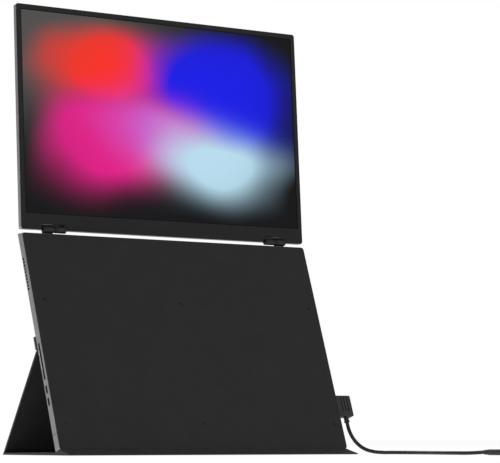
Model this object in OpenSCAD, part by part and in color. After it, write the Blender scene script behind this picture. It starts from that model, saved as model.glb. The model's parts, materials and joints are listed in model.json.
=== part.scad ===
// Laptop screen extender: a display panel on two friction hinges above a slim
// upright housing, held at its lean by a folding cover stand, with its lead.
//
// Frame: +X to the right seen from the front, +Y to the back, +Z up, millimetres.
// The origin is the middle of the footprint, on the surface it stands on.
// The housing and the display are drawn flat in local frames (X across,
// Y from front to back, Z along the panel) and then leaned into place.

/* [Housing] */
// Width of the housing and of the display
unit_w = 360; // [340:1:380]
// Height of the housing along its slope, at its rear face
base_h = 243; // [230:1:260]
// Thickness of the housing, front cover included
base_t = 10.8; // [10:0.1:12]
// Lean of the housing from upright, in degrees
base_lean = 20; // [15:0.5:24]
// Wall of the housing shell
base_wall = 1.4; // [1.2:0.1:1.8]
// Corner radius of the housing seen from the front
base_corner_r = 3; // [2:0.5:8]
// Radius of the housing's rear edges
base_edge_r = 2; // [1:0.1:2.4]
// Slant of the housing's top face down towards the front, in degrees
top_slant = 20; // [0:1:24]
// Thickness of the front cover's flange
cover_t = 0.8; // [0.6:0.1:1]
// How far the front cover's raised back reaches into the shell
cover_step = 0.8; // [0.5:0.1:1]
// Height of the bottom end cap up to its seam
cap_h = 18.5; // [16:0.5:22]
// Width of the seam above the end cap
seam_w = 0.5; // [0.1:0.1:0.8]
// How far the end cap's tongue reaches into the shell
cap_tongue = 4; // [3:0.5:6]

/* [Display] */
// Height of the display along its slope
display_h = 240.9; // [230:0.1:250]
// Thickness of the display at its hinge edge
display_t = 7.3; // [6.8:0.1:8]
// Thickness of the display at its top edge
display_top_t = 5.4; // [5.2:0.1:6.5]
// Lean of the display from upright, in degrees
display_lean = 3.8; // [0:0.2:8]
// Wall of the display shell
display_wall = 1; // [0.8:0.1:1.2]
// Corner radius of the display seen from the front
display_corner_r = 3; // [2:0.5:6]
// Radius of the display's rear edges
display_edge_r = 1.8; // [1:0.1:2.4]
// Thickness of the bezel
bezel_t = 0.6; // [0.5:0.1:0.8]
// Width of the bezel at the sides
bezel_side = 5.4; // [4.5:0.1:8]
// Width of the bezel at the top
bezel_top = 5.4; // [4.5:0.1:8]
// Height of the chin below the picture
chin_h = 17.1; // [16:0.1:22]
// How far the panel reaches under the bezel on each side
panel_margin = 1.5; // [1:0.1:2]
// Thickness of the liquid crystal panel
panel_t = 1; // [0.8:0.1:1.2]
// Thickness of the light guide
guide_t = 1.3; // [1:0.1:1.4]
// Thickness of the steel chassis behind the light guide
chassis_t = 0.5; // [0.4:0.1:0.6]

/* [Hinges] */
// Gap between the two fronts when the display is folded shut
closed_gap = 0.5; // [0.4:0.1:1]
// Height of the hinge axis above the housing's rear top edge
edge_gap = 0.6; // [0.5:0.1:1]
// How far the display reaches below the hinge axis
display_drop = 0.5; // [0:0.1:0.8]
// Outer radius of the knuckles
knuckle_r = 3.6; // [3.2:0.1:4]
// Length of one knuckle
knuckle_len = 12.5; // [10:0.5:14]
// Radius of the hinge shaft
shaft_r = 1.6; // [1.2:0.1:1.9]
// Distance from the side of the unit to the hinge notch
hinge_inset = 25; // [20:1:40]
// Height of the notch in the chin
notch_h = 6; // [5:0.5:7]
// Thickness of the hinge brackets
bracket_t = 1.4; // [1:0.1:1.5]
// Height of the housing bracket's plate
base_bracket_h = 34; // [28:1:40]
// Height of the display bracket's plate above the axis
display_bracket_h = 12.5; // [11.5:0.5:13]
// Width of the display bracket's plate
display_bracket_w = 62; // [56:1:70]
// Thickness of one friction washer
washer_t = 0.3; // [0.2:0.05:0.35]
// Radius of the bracket screws' shanks
screw_r = 0.9; // [0.7:0.1:1]
// Radius of the screw heads
screw_head_r = 1.9; // [1.6:0.1:2.2]
// Radius of the bosses that the screws go into
boss_r = 2.8; // [2.5:0.1:3.2]

/* [Ports and keys] */
// Height along the housing of the upper left USB-C port
port_high_u = 66.5; // [64:0.5:70]
// Height along the housing of the lower USB-C ports
port_low_u = 53; // [46:0.5:56]
// Length of a USB-C opening
port_w = 9; // [8.8:0.1:9.4]
// Width of a USB-C opening
port_t = 3.2; // [3:0.1:3.4]
// Depth of a USB-C socket
socket_d = 7.4; // [7:0.1:9]
// Lower end of the key recess along the housing
recess_u = 77; // [76:0.5:80]
// Length of the key recess, a groove beside the keys
recess_len = 40; // [38:0.5:46]
// Width of the key recess
recess_w = 2.4; // [2:0.1:3]
// Depth of the key recess
recess_d = 1.2; // [0.8:0.1:1.4]
// Length of the power key
power_len = 6.8; // [5:0.1:8]
// Length of the rocker key
rocker_len = 13.5; // [10:0.5:14]
// Width of the keys
key_w = 2; // [1.6:0.1:2.1]
// How far the keys stand out of the housing's side
key_proud = 0.2; // [0:0.05:0.4]
// Travel of the keys
key_travel = 0.4; // [0.3:0.05:0.5]
// Radius of one speaker hole
speaker_hole_r = 1.15; // [0.5:0.05:1.3]
// Pitch of the speaker holes
speaker_pitch = 3.75; // [3:0.05:4]
// Distance from the housing's top down to the lowest speaker hole
speaker_drop = 65.3; // [60:0.1:80]
// Distance from the housing's rear face to the speaker holes
speaker_back = 4.2; // [3:0.1:5]

/* [Stand] */
// Length of the floor flap from its fold to the rear edge
flap_len = 109.5; // [105:0.5:116]
// Thickness of the folding panels
fold_t = 2.4; // [2:0.1:2.8]
// How far the folding panels' sides lie inside the housing's sides
stand_inset = 0; // [0:0.5:20]
// Height along the housing of the fold between leaf and magnet strip
strip_u = 110.5; // [106:0.5:114]
// Height of the magnet strip
strip_h = 16; // [14:0.5:18]
// Thickness of the magnet strip
strip_t = 3.6; // [3:0.1:4]
// Thickness of the soft skin round the stiff boards
skin_t = 0.6; // [0.5:0.05:0.8]
// Thickness of the lining on the inner faces
lining_t = 0.4; // [0.3:0.05:0.5]
// Hem round the boards
hem = 3; // [2:0.25:5]
// How far the front lip reaches forward of the housing
lip_len = 19; // [14:0.5:24]
// Thickness of the front lip at its tip
lip_tip_t = 1; // [0.8:0.1:1.6]

/* [Lead] */
// Diameter of the lead
cord_d = 4; // [4:0.1:4.4]
// Width of the elbow plug across the housing's side
elbow_w = 20.2; // [18:0.1:24]
// Height of the elbow plug
elbow_h = 24; // [20:0.5:26]
// Thickness of the elbow plug
elbow_t = 7; // [6.4:0.1:8]
// Length of the sleeve below the elbow plug
sleeve_len = 6; // [5:0.5:10]
// Distance from the elbow plug's lower end up to the port's middle
elbow_drop = 14.5; // [13:0.5:16]
// Distance from the elbow plug's outer side to the middle of its sleeve
sleeve_inset = 8.7; // [6:0.1:12]
// Radius of the sleeve
sleeve_r = 2.7; // [2.4:0.1:3.2]
// Pitch of the grip grooves in the elbow plug
grip_pitch = 4; // [3:0.1:5]
// Length of the straight plug at the far end
far_plug_len = 21; // [18:0.5:26]

/* [Hidden] */

eps = 0.01;
fit = 0.15;          // gap between pieces that slide into each other
seat_gap = 0.3;      // gap between pieces on different bodies that meet
run_gap = 0.05;      // radial gap of a shaft in its bore
shell_front = cover_t;
shell_inner = base_t - base_wall;
base_front_h = base_h - base_t * tan(top_slant);   // height of the housing at its front face
hinge_front = -closed_gap / 2;
aluminium = [0.45, 0.45, 0.46];
soft_black = [0.10, 0.10, 0.11];
bezel_black = [0.14, 0.14, 0.15];
steel = [0.6, 0.6, 0.62];
board_green = [0.05, 0.25, 0.15];

stand_w = unit_w - 2 * stand_inset;

// ---- where the local frames stand -------------------------------------------------
fold_v = base_t + seat_gap;                       // inner face of the stowed cover
foot_z = fold_t + fold_v * sin(base_lean);        // height of the housing's front bottom edge
fold_reach = fold_v * cos(base_lean);             // from that edge back to the flap's fold
depth = lip_len + fold_reach + flap_len;          // lip tip to the stand's rear edge
foot_y = lip_len - depth / 2;                     // the housing's front bottom edge
flap_y = foot_y + fold_reach;                     // fold between housing and flap
rear_y = flap_y + flap_len;                       // the stand's rear edge, on the surface

module on_base() { translate([0, foot_y, foot_z]) rotate([-base_lean, 0, 0]) children(); }
module at_axis() { on_base() translate([0, hinge_front, base_h + edge_gap]) children(); }
module on_display() { at_axis() rotate([base_lean - display_lean, 0, 0]) children(); }

function base_point(y, z) = [
    foot_y + y * cos(base_lean) + z * sin(base_lean),
    foot_z - y * sin(base_lean) + z * cos(base_lean)
];
strip_fold = base_point(fold_v, strip_u);
leaf_run = strip_fold - [rear_y, 0];
leaf_reach = norm(leaf_run);
leaf_angle = atan2(leaf_run[1], -leaf_run[0]) + asin(fold_t / leaf_reach);
leaf_len = sqrt(leaf_reach * leaf_reach - fold_t * fold_t);

// ---- shapes that repeat -----------------------------------------------------------
function arc(centre, r, from, to, steps = 6) = [
    for (i = [0:steps]) let (a = from + (to - from) * i / steps) centre + r * [cos(a), sin(a)]
];

module rounded_rect(w, h, r) {
    square([w - 2 * r, h], center = true);
    square([w, h - 2 * r], center = true);
    for (sx = [-1, 1], sy = [-1, 1])
        translate([sx * (w / 2 - r), sy * (h / 2 - r)]) circle(r = r, $fn = 48);
}

// A plate in the X-Z plane, w wide, from z0 to z1 and from y0 to y1
module plate(w, z0, z1, y0, y1, r) {
    translate([0, y1, (z0 + z1) / 2]) rotate([90, 0, 0])
        linear_extrude(y1 - y0) rounded_rect(w, z1 - z0, r);
}

module block(x0, x1, y0, y1, z0, z1) {
    translate([x0, y0, z0]) cube([x1 - x0, y1 - y0, z1 - z0]);
}

// Children drawn as (Y, Z) profiles, extruded along X
module across(w) { translate([-w / 2, 0, 0]) rotate([90, 0, 90]) linear_extrude(w) children(); }

// A rod along Y from y0 to y1
module rod_y(x, z, r, y0, y1) {
    translate([x, y1, z]) rotate([90, 0, 0]) cylinder(r = r, h = y1 - y0, $fn = 32);
}

// A rod along X from x0 to x1 through the local Y-Z origin
module rod_x(r, x0, x1) { translate([x0, 0, 0]) rotate([0, 90, 0]) cylinder(r = r, h = x1 - x0, $fn = 48); }

// A stadium-shaped bar along X, w long in Z and t thick in Y
module stadium_x(x0, x1, y, z, w, t) {
    translate([x0, y, z]) rotate([90, 0, 90]) linear_extrude(x1 - x0) {
        square([t, w - t], center = true);
        for (s = [-1, 1]) translate([0, s * (w - t) / 2]) circle(d = t, $fn = 32);
    }
}

// ---- housing ----------------------------------------------------------------------
side_x = unit_w / 2;
cavity_x = side_x - base_wall;
port_y = (shell_front + base_t) / 2;
speaker_y = base_t - speaker_back;
speaker_count = 10;
speaker_u = base_h - speaker_drop;                 // height of the lowest speaker hole
pocket_x = side_x - recess_d - base_wall;

module base_outline(inset, y0, y1, top = base_front_h) {
    plate(unit_w - 2 * inset, inset, top - inset, y0, y1, base_corner_r - inset);
}

// Children drawn from the slanted top face, with Z = 0 on it
module on_top() { translate([0, base_t, base_h]) rotate([top_slant, 0, 0]) children(); }

module base_solid() {
    r = base_edge_r;
    intersection() {
        base_outline(0, shell_front, base_t, base_h + 2 * base_corner_r);
        on_top() plate(unit_w, -2 * base_h, 0, -2 * base_h, 2 * base_h, base_corner_r);
        across(unit_w + 2) polygon(concat(
            [[shell_front - 1, -1], [shell_front - 1, base_h + 1]],
            [[base_t - r, base_h + 1]],
            arc([base_t - r, base_h - r * (1 + sin(top_slant)) / cos(top_slant)], r, 90 + top_slant, 0),
            [[base_t, -1]]
        ));
        linear_extrude(base_h * 3, center = true) polygon(concat(
            [[-side_x, shell_front - 1], [side_x, shell_front - 1]],
            arc([side_x - r, base_t - r], r, 0, 90),
            arc([-side_x + r, base_t - r], r, 90, 180)
        ));
    }
}

// Where the bracket plates are held, from the notch's inner end
module each_side() { for (s = [-1, 1]) scale_side(s) children(); }
module scale_side(s) { if (s < 0) mirror([1, 0, 0]) children(); else children(); }

notch_x0 = side_x - hinge_inset - notch_w();
function notch_w() = 2 * knuckle_len + 3 * washer_t + 4 * fit + 1;
notch_x1 = side_x - hinge_inset;
knuckle_a0 = notch_x0 + 0.5;                       // display knuckle
knuckle_a1 = knuckle_a0 + knuckle_len;
knuckle_b0 = knuckle_a1 + 3 * washer_t + 4 * fit;  // housing knuckle
knuckle_b1 = knuckle_b0 + knuckle_len;
bracket_y1 = hinge_front + knuckle_r;              // rear face of the housing bracket
bracket_y0 = bracket_y1 - bracket_t;
axis_u = base_h + edge_gap;
bracket_u0 = axis_u - base_bracket_h;
bracket_u1 = base_front_h - base_wall - seat_gap;
bracket_holes = [for (x = [5, notch_w() - 5], u = [5, 18]) [notch_x0 + x, bracket_u0 + u]];

module hinge_clearance() {
    translate([0, hinge_front, axis_u]) rod_x(knuckle_r + seat_gap, notch_x0, notch_x1);
}

module bracket_slot() {
    block(knuckle_b0 - fit, knuckle_b1 + fit, bracket_y0 - fit, bracket_y1 + fit, bracket_u0, base_h);
}

module key_openings(grow) {
    for (k = keys)
        block(-side_x - 1, -pocket_x + 1, key_v - key_w / 2 - grow, key_v + key_w / 2 + grow,
            k[0] - 2 * grow, k[0] + k[1] + 2 * grow);
}
keys = [[power_u0(), power_len], [rocker_u0(), rocker_len]];
function rocker_u0() = recess_u + 12.3;
function power_u0() = rocker_u0() + rocker_len + 1.2;
key_v = min(port_y + recess_w / 2 + key_w / 2, shell_inner - key_w / 2 - seat_gap);

cover_holes = [
    for (x = [-side_x + 12, 0, side_x - 12], u = [cap_h + cap_tongue + 5, speaker_u - 14]) [x, u]
];
board_pads = concat(
    [for (x = [-side_x + 24, -side_x + 92], u = [port_low_u - 9, strip_u - 10]) [x, u]],
    [for (u = [port_low_u - 13, port_low_u + 13]) [side_x - 24, u]]
);

module boss(hole, from) {
    difference() {
        rod_y(hole[0], hole[1], boss_r, from, shell_inner + eps);
        rod_y(hole[0], hole[1], screw_r, from - 1, shell_inner - 0.2);
    }
}

module base_rear_shell() {
    color(aluminium) on_base() {
        difference() {
            base_solid();
            block(-side_x - 1, side_x + 1, -1, base_t + 1, -1, cap_h);
            difference() {
                intersection() {
                    plate(2 * cavity_x, -20, base_h, -1, shell_inner, base_corner_r - base_wall);
                    on_top() block(-side_x, side_x, -2 * base_h, 2 * base_h, -2 * base_h, -base_wall);
                }
                block(-side_x, -pocket_x, port_y - recess_w - 1, shell_inner + 1,
                    recess_u - 2, recess_u + recess_len + 2);
            }
            each_side() { hinge_clearance(); bracket_slot(); }
            stadium_x(-side_x - 1, -side_x + recess_d, port_y, recess_u + recess_len / 2,
                recess_len, recess_w);
            key_openings(fit);
            for (u = [port_low_u, port_high_u])
                stadium_x(-side_x - 1, -cavity_x + 1, port_y, u, port_w, port_t);
            stadium_x(cavity_x - 1, side_x + 1, port_y, port_low_u, port_w, port_t);
            each_side() for (i = [0:speaker_count - 1])
                translate([0, speaker_y, speaker_u + i * speaker_pitch])
                    rod_x(speaker_hole_r, cavity_x - 1, side_x + 1);
        }
        each_side() for (h = bracket_holes) boss(h, bracket_y1);
        for (h = cover_holes) boss(h, cover_back);
        for (p = board_pads) rod_y(p[0], p[1], boss_r, board_y + board_t, shell_inner + eps);
    }
}
cover_back = cover_t + cover_step;

module base_front_cover() {
    color(soft_black) on_base() difference() {
        union() {
            base_outline(0.3, 0, cover_t);
            difference() {
                base_outline(base_wall + fit, 0, cover_back);
                each_side() block(notch_x0 - 3, notch_x1 + 3, cover_t, base_t,
                    bracket_u0 - 2, base_h + 1);
                block(-side_x, -pocket_x + 2 * fit, cover_t, base_t,
                    recess_u - 3, recess_u + recess_len + 3);
            }
        }
        each_side() hinge_clearance();
        for (h = cover_holes) {
            rod_y(h[0], h[1], screw_r + run_gap, -1, base_t);
            rod_y(h[0], h[1], screw_head_r + fit, -1, cover_t);
        }
    }
}

module base_end_cap() {
    tongue_w = 2 * (cavity_x - fit);
    color(aluminium) on_base() {
        difference() {
            intersection() {
                base_solid();
                block(-side_x - 1, side_x + 1, -1, base_t + 1, -1, cap_h - seam_w);
            }
            plate(2 * cavity_x, base_wall, base_h, -1, shell_inner, base_corner_r - base_wall);
        }
        difference() {
            block(-tongue_w / 2, tongue_w / 2, cover_back + fit, shell_inner - fit, 6, cap_h + cap_tongue);
            block(-tongue_w / 2 + 1.2, tongue_w / 2 - 1.2, -1, shell_inner - fit - 1.2, 5, base_h);
        }
        block(-tongue_w / 2, tongue_w / 2, shell_inner - fit - eps, shell_inner + eps, 6, cap_h - 1);
    }
}

module front_lip() {
    heel = base_point(base_t, 0);
    toe = base_point(0.4, 0);
    color(soft_black) across(stand_w) polygon([
        [foot_y - lip_len, 0], [flap_y - seat_gap, 0], [flap_y - seat_gap, heel[1] - 0.1],
        heel, toe, toe - [0.6, 0.6], [foot_y - lip_len, lip_tip_t]
    ]);
}

board_t = 1;
board_y = port_y + port_t / 2 + 0.3;
board_w = 108;
board_x0 = -cavity_x + fit;
board_u0 = port_low_u - 19;
// Parts on the driver board: x and height from its corner, then width, height and thickness
driver_chips = [[30, 28, 18, 18, 1.4], [58, 30, 14, 14, 1.2], [58, 52, 9, 7, 1], [84, 18, 20, 5, 2]];

module board(x0, x1, u0, u1) { block(x0, x1, board_y, board_y + board_t, u0, u1); }
module chip(x, u, w, h, t) { block(x, x + w, board_y - t, board_y, u, u + h); }

module driver_board() {
    color(board_green) on_base() {
        board(board_x0, board_x0 + board_w, board_u0, recess_u - 3);
        board(board_x0 + 7, board_x0 + board_w, recess_u - 4, strip_u - 1.5);
        for (c = driver_chips) chip(board_x0 + c[0], board_u0 + c[1], c[2], c[3], c[4]);
    }
}

module right_port_board() {
    color(board_green) on_base() {
        board(cavity_x - fit - 34, cavity_x - fit, board_u0, port_low_u + 19);
        chip(cavity_x - 30, port_low_u - 4, 8, 8, 1.1);
    }
}

module button_board() {
    x0 = -pocket_x + key_travel + 3;
    color(board_green) on_base() {
        block(x0, x0 + 1, port_y - 2.4, key_v + key_w / 2 + 0.1, recess_u + 3, recess_u + recess_len - 3);
        for (k = keys) block(x0 - 1.2, x0, key_v - 0.8, key_v + 0.8, k[0] + k[1] / 2 - 2, k[0] + k[1] / 2 + 2);
        block(x0, x0 + 6, board_y - 2, board_y, recess_u + 6, recess_u + 12);
    }
}

module strike_plate() {
    color(steel) on_base() block(30 - side_x, side_x - 30, shell_inner - 0.5, shell_inner, strip_u + 1, strip_u + strip_h - 1);
}

module usb_socket(u) {
    color(steel) difference() {
        stadium_x(-cavity_x + fit, -cavity_x + fit + socket_d, port_y, u, port_w + 0.4, port_t + 0.4);
        difference() {
            stadium_x(-cavity_x - 1, -cavity_x + socket_d - 1, port_y, u, port_w - 0.3, port_t - 0.3);
            block(-cavity_x + 1.2, -cavity_x + socket_d, port_y - 0.35, port_y + 0.35, u - 3.3, u + 3.3);
        }
    }
    color(steel) block(-cavity_x + 1, -cavity_x + socket_d, board_y - 0.3, board_y, u - 3.5, u + 3.5);
}
module usb_socket_upper_left() { on_base() usb_socket(port_high_u); }
module usb_socket_lower_left() { on_base() usb_socket(port_low_u); }
module usb_socket_right() { on_base() mirror([1, 0, 0]) usb_socket(port_low_u); }

speaker_box_w = 22;
speaker_cone_r = 8;
module speaker_box() {
    u0 = speaker_u - 3;
    u1 = speaker_u + (speaker_count - 1) * speaker_pitch + 3;
    color(soft_black) difference() {
        block(cavity_x - fit - speaker_box_w, cavity_x - fit, cover_back + fit, shell_inner, u0, u1);
        block(cavity_x - 6, cavity_x + 1, speaker_y - speaker_hole_r - 0.2,
            speaker_y + speaker_hole_r + 0.2, u0 + 1.5, u1 - 1.5);
        rod_y(cavity_x - speaker_box_w / 2, (u0 + u1) / 2, speaker_cone_r + 1.5, -1, cover_back + 0.8);
    }
    color([0.3, 0.3, 0.3]) rod_y(cavity_x - speaker_box_w / 2, (u0 + u1) / 2, speaker_cone_r,
        cover_back + fit, cover_back + 0.8 + eps);
}
module speaker_left() { on_base() mirror([1, 0, 0]) speaker_box(); }
module speaker_right() { on_base() speaker_box(); }

// ---- hinges -----------------------------------------------------------------------
module base_bracket() {
    color(soft_black) difference() {
        union() {
            translate([0, hinge_front, axis_u]) rod_x(knuckle_r, knuckle_b0, knuckle_b1);
            block(knuckle_b0, knuckle_b1, bracket_y0, bracket_y1, bracket_u1, axis_u);
            block(notch_x0 + 1, notch_x1 - 1, bracket_y0, bracket_y1, bracket_u0, bracket_u1);
        }
        translate([0, hinge_front, axis_u]) {
            rod_x(shaft_r + run_gap, knuckle_b0 - 1, knuckle_b1 + 1);
            rod_x(shaft_r + 1 + fit, knuckle_b1 - 1.6, knuckle_b1 + 1);
        }
        for (h = bracket_holes) rod_y(h[0], h[1], screw_r + run_gap, bracket_y0 - 1, bracket_y1 + 1);
    }
}
module base_bracket_left() { on_base() mirror([1, 0, 0]) base_bracket(); }
module base_bracket_right() { on_base() base_bracket(); }

display_y0 = closed_gap / 2;                       // front face of the display
display_back = display_y0 + display_t;
display_y1 = display_y0 + bezel_t;                 // rim of the display shell
display_z0 = -display_drop;
display_z1 = display_z0 + display_h;
window_z0 = display_z0 + chin_h;
window_z1 = display_z1 - bezel_top;
window_w = unit_w - 2 * bezel_side;
d_bracket_y1 = knuckle_r;
d_bracket_y0 = d_bracket_y1 - bracket_t;
plate_x0 = notch_x0 + 6.5 - display_bracket_w / 2 + 6;
display_holes = [
    for (x = [3.4, display_bracket_w - 3.4]) [plate_x0 + x, display_bracket_h - 3.6]
];

module display_bracket() {
    color(soft_black) difference() {
        union() {
            rod_x(knuckle_r, knuckle_a0, knuckle_a1);
            block(knuckle_a0, knuckle_a1, d_bracket_y0, d_bracket_y1, 0, notch_h + 1);
            block(plate_x0, plate_x0 + display_bracket_w, d_bracket_y0, d_bracket_y1,
                notch_h + seat_gap, display_bracket_h);
        }
        rod_x(shaft_r + run_gap / 2, knuckle_a0 - 1, knuckle_a1 + 1);
        for (h = display_holes) rod_y(h[0], h[1], screw_r + run_gap, d_bracket_y0 - 1, d_bracket_y1 + 1);
    }
}
module display_bracket_left() { on_display() mirror([1, 0, 0]) display_bracket(); }
module display_bracket_right() { on_display() display_bracket(); }

module hinge_shaft() {
    color(steel) {
        rod_x(shaft_r, knuckle_a0, knuckle_b1 - 0.4);
        rod_x(shaft_r + 1, knuckle_b1 - 1.5, knuckle_b1 - 0.3);
    }
}
module hinge_shaft_left() { on_display() mirror([1, 0, 0]) hinge_shaft(); }
module hinge_shaft_right() { on_display() hinge_shaft(); }

module friction_washers() {
    color(steel) at_axis() each_side() for (i = [0:2]) {
        x0 = knuckle_a1 + fit + i * (washer_t + fit);
        difference() {
            rod_x(knuckle_r - 0.4, x0, x0 + washer_t);
            rod_x(shaft_r + run_gap, x0 - 1, x0 + washer_t + 1);
        }
    }
}

module screw(x, z, y_seat, head_t, y_end) {
    rod_y(x, z, screw_head_r, y_seat - head_t, y_seat);
    rod_y(x, z, screw_r - run_gap, y_seat - eps, y_end);
}

module bracket_screws() {
    color(steel) on_base() each_side() for (h = bracket_holes)
        screw(h[0], h[1], bracket_y0, 0.8, shell_inner - 0.5);
}

module cover_screws() {
    color(steel) on_base() for (h = cover_holes) screw(h[0], h[1], cover_t, 0.5, shell_inner - 0.5);
}

// Flexible cable from the driver board up beside the left hinge
flex_w = 14;
flex_t = 0.3;
flex_lap = 7.5;                                    // how far it lies on the board
module flat_cable() {
    x1 = -notch_x0 + 2 + flex_w;
    color([0.55, 0.35, 0.15]) on_base()
        block(x1 - flex_w, x1, board_y - flex_t, board_y, strip_u - 1.5 - flex_lap, base_h - 8);
}

// ---- display ----------------------------------------------------------------------
module display_outline(inset, y0, y1) {
    plate(unit_w - 2 * inset, display_z0 + inset, display_z1 - inset, y0, y1, display_corner_r - inset);
}

// The wedge profile: thicker at the hinge edge, round at the rear edges
module display_profile(inset) {
    top = display_y0 + display_top_t - inset;
    bottom = display_back - inset;
    r = display_edge_r - inset;
    tilt = atan((display_t - display_top_t) / display_h);
    polygon(concat(
        [[display_y0 - 1, display_z0 + inset], [display_y0 - 1, display_z1 - inset]],
        arc([top - r, display_z1 - inset - r], r, 90, tilt),
        arc([bottom - r, display_z0 + inset + r], r, tilt, -90)
    ));
}

module display_side_rounding(inset) {
    x = side_x - inset;
    y = display_back - inset;
    r = display_edge_r - inset;
    linear_extrude(display_h * 3, center = true) polygon(concat(
        [[-x, -1], [x, -1]],
        arc([x - r, y - r], r, 0, 90),
        arc([-x + r, y - r], r, 90, 180)
    ));
}

module display_body(inset) {
    intersection() {
        display_outline(inset, display_y1, display_back);
        across(unit_w + 2) display_profile(inset);
        display_side_rounding(inset);
    }
}

module display_notches() {
    each_side() block(notch_x0, notch_x1, -1, knuckle_r + seat_gap, -1, notch_h);
    each_side() block(plate_x0 - fit, plate_x0 + display_bracket_w + fit, display_y1, d_bracket_y1,
        notch_h, display_bracket_h + fit);
}

stack_y = display_y1;
guide_y = stack_y + panel_t;
chassis_y = guide_y + guide_t;
pad_y = chassis_y + chassis_t;
board_z0 = 3;
board_z1 = 12.5;
timing_board_w = unit_w / 2 - 4;
timing_y = 3.4;

module display_inner_profile() {
    intersection() {
        across(unit_w - 2 * display_wall) display_profile(display_wall);
        plate(unit_w - 2 * display_wall, display_z0 + display_wall, display_z1 - display_wall,
            -1, display_back, display_corner_r - display_wall);
    }
}

module display_back_shell() {
    color(aluminium) on_display() {
        difference() {
            display_body(0);
            difference() {
                display_inner_profile();
                each_side() block(notch_x0 - 1, notch_x1 + 1, -1, display_back, -1, notch_h + 1);
            }
            display_notches();
        }
        intersection() {
            display_body(0);
            union() {
                each_side() for (h = display_holes) difference() {
                    rod_y(h[0], h[1], boss_r, d_bracket_y1, display_back - display_wall / 2);
                    rod_y(h[0], h[1], screw_r, d_bracket_y1 - 1, display_back - display_wall - 0.2);
                }
                for (x = [-70, 0, 70])
                    rod_y(x, board_z0 + 5, boss_r, timing_y + board_t, display_back - display_wall / 2);
            }
        }
    }
}

module display_bezel() {
    color(bezel_black) on_display() difference() {
        display_outline(0.2, display_y0, display_y1);
        plate(window_w, window_z0, window_z1, -1, display_back, 0.8);
        each_side() block(notch_x0, notch_x1, -1, display_back, -1, notch_h);
    }
}

module panel_plate(margin, y0, y1, r = 0.5) {
    plate(window_w + 2 * margin, window_z0 - margin, window_z1 + margin, y0, y1, r);
}

module lcd_panel() { color([0.2, 0.1, 0.4]) on_display() panel_plate(panel_margin, stack_y, guide_y); }
module light_guide() { color([0.9, 0.9, 0.95]) on_display() panel_plate(panel_margin, guide_y, chassis_y); }
module panel_chassis() {
    color(steel) on_display() difference() {
        panel_plate(panel_margin + 0.5, chassis_y, pad_y);
        for (x = [-110, 0, 110]) rod_y(x, (window_z0 + window_z1) / 2, 6, -1, display_back);
    }
}

module led_strip() {
    color([0.9, 0.9, 0.7]) on_display() {
        z1 = window_z0 - panel_margin;
        block(-window_w / 2, window_w / 2, guide_y + 0.1, chassis_y - 0.1, z1 - 0.6, z1);
        block(-window_w / 2, window_w / 2, chassis_y - 0.1 - eps, pad_y - 0.1, z1 - 2, z1 - 0.6 + eps);
    }
}

module timing_board() {
    color(board_green) on_display() {
        block(-timing_board_w / 2, timing_board_w / 2, timing_y, timing_y + board_t, board_z0, board_z1 - 1);
        block(-8, 8, timing_y - 1.2, timing_y, board_z0 + 1, board_z1 - 2);
        for (x = [-1, 1] * timing_board_w / 3) block(x - 14, x + 14, timing_y - 1, timing_y, board_z0 + 3, board_z1 - 2);
    }
}

// Foam pads that fill the wedge between the chassis and the shell
module foam_pads() {
    color([0.25, 0.25, 0.25]) on_display() intersection() {
        display_inner_profile();
        for (x = [-0.43, -0.16, 0.16, 0.43] * window_w)
            block(x - 9, x + 9, pad_y, display_back, window_z0 + 8, window_z1 - 8);
    }
}

module display_screws() {
    color(steel) on_display() each_side() for (h = display_holes)
        screw(h[0], h[1], d_bracket_y0, 0.7, display_back - display_wall - 0.5);
}

// ---- keys -------------------------------------------------------------------------
module key(k) {
    flange = 0.3;
    inner_x = -pocket_x + seat_gap;
    color(aluminium) on_base() {
        block(-side_x - key_proud, inner_x, key_v - key_w / 2, key_v + key_w / 2, k[0], k[0] + k[1]);
        block(inner_x - eps, inner_x + 0.8, key_v - key_w / 2 - 0.6, key_v + key_w / 2,
            k[0] - flange, k[0] + k[1] + flange);
    }
}
module power_key() { key(keys[0]); }
module rocker_key() { key(keys[1]); }

// ---- stand ------------------------------------------------------------------------
flap_mitre = fold_t / tan(leaf_angle / 2) + 0.3;   // boards end short of the acute fold
fold_turn = 90 + base_lean - leaf_angle;           // turn between leaf and strip
strip_mitre = fold_t * tan(fold_turn / 2) + 0.3;

// A skin tray along its panel, length s, open on its inner face (+Y side of the profile)
module flap_frame() { translate([0, flap_y, 0]) children(); }
module leaf_frame() { translate([0, rear_y, 0]) rotate([90 - leaf_angle, 0, 0]) children(); }

board_in_t = fold_t - skin_t - lining_t;

// Flap: X across, Y from the fold to the rear edge, Z up to the inner face
module flap_piece(z0, z1, front, rear, side) {
    block(-side, side, front, flap_len - rear, z0, z1);
}

module flap_mitred() {
    across(stand_w) polygon([
        [seat_gap, 0], [flap_len, 0], [flap_len - flap_mitre, fold_t], [seat_gap, fold_t]
    ]);
}

module floor_flap() {
    color(soft_black) flap_frame() difference() {
        flap_mitred();
        flap_piece(skin_t, fold_t + 1, hem, flap_mitre + hem, stand_w / 2 - hem);
    }
}
module flap_board() {
    color([0.5, 0.45, 0.4]) flap_frame()
        flap_piece(skin_t, skin_t + board_in_t, hem + fit, flap_mitre + hem + fit, stand_w / 2 - hem - fit);
}
module flap_lining() {
    color([0.2, 0.2, 0.2]) flap_frame()
        flap_piece(fold_t - lining_t, fold_t, hem + fit, flap_mitre + hem + fit, stand_w / 2 - hem - fit);
}

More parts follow.
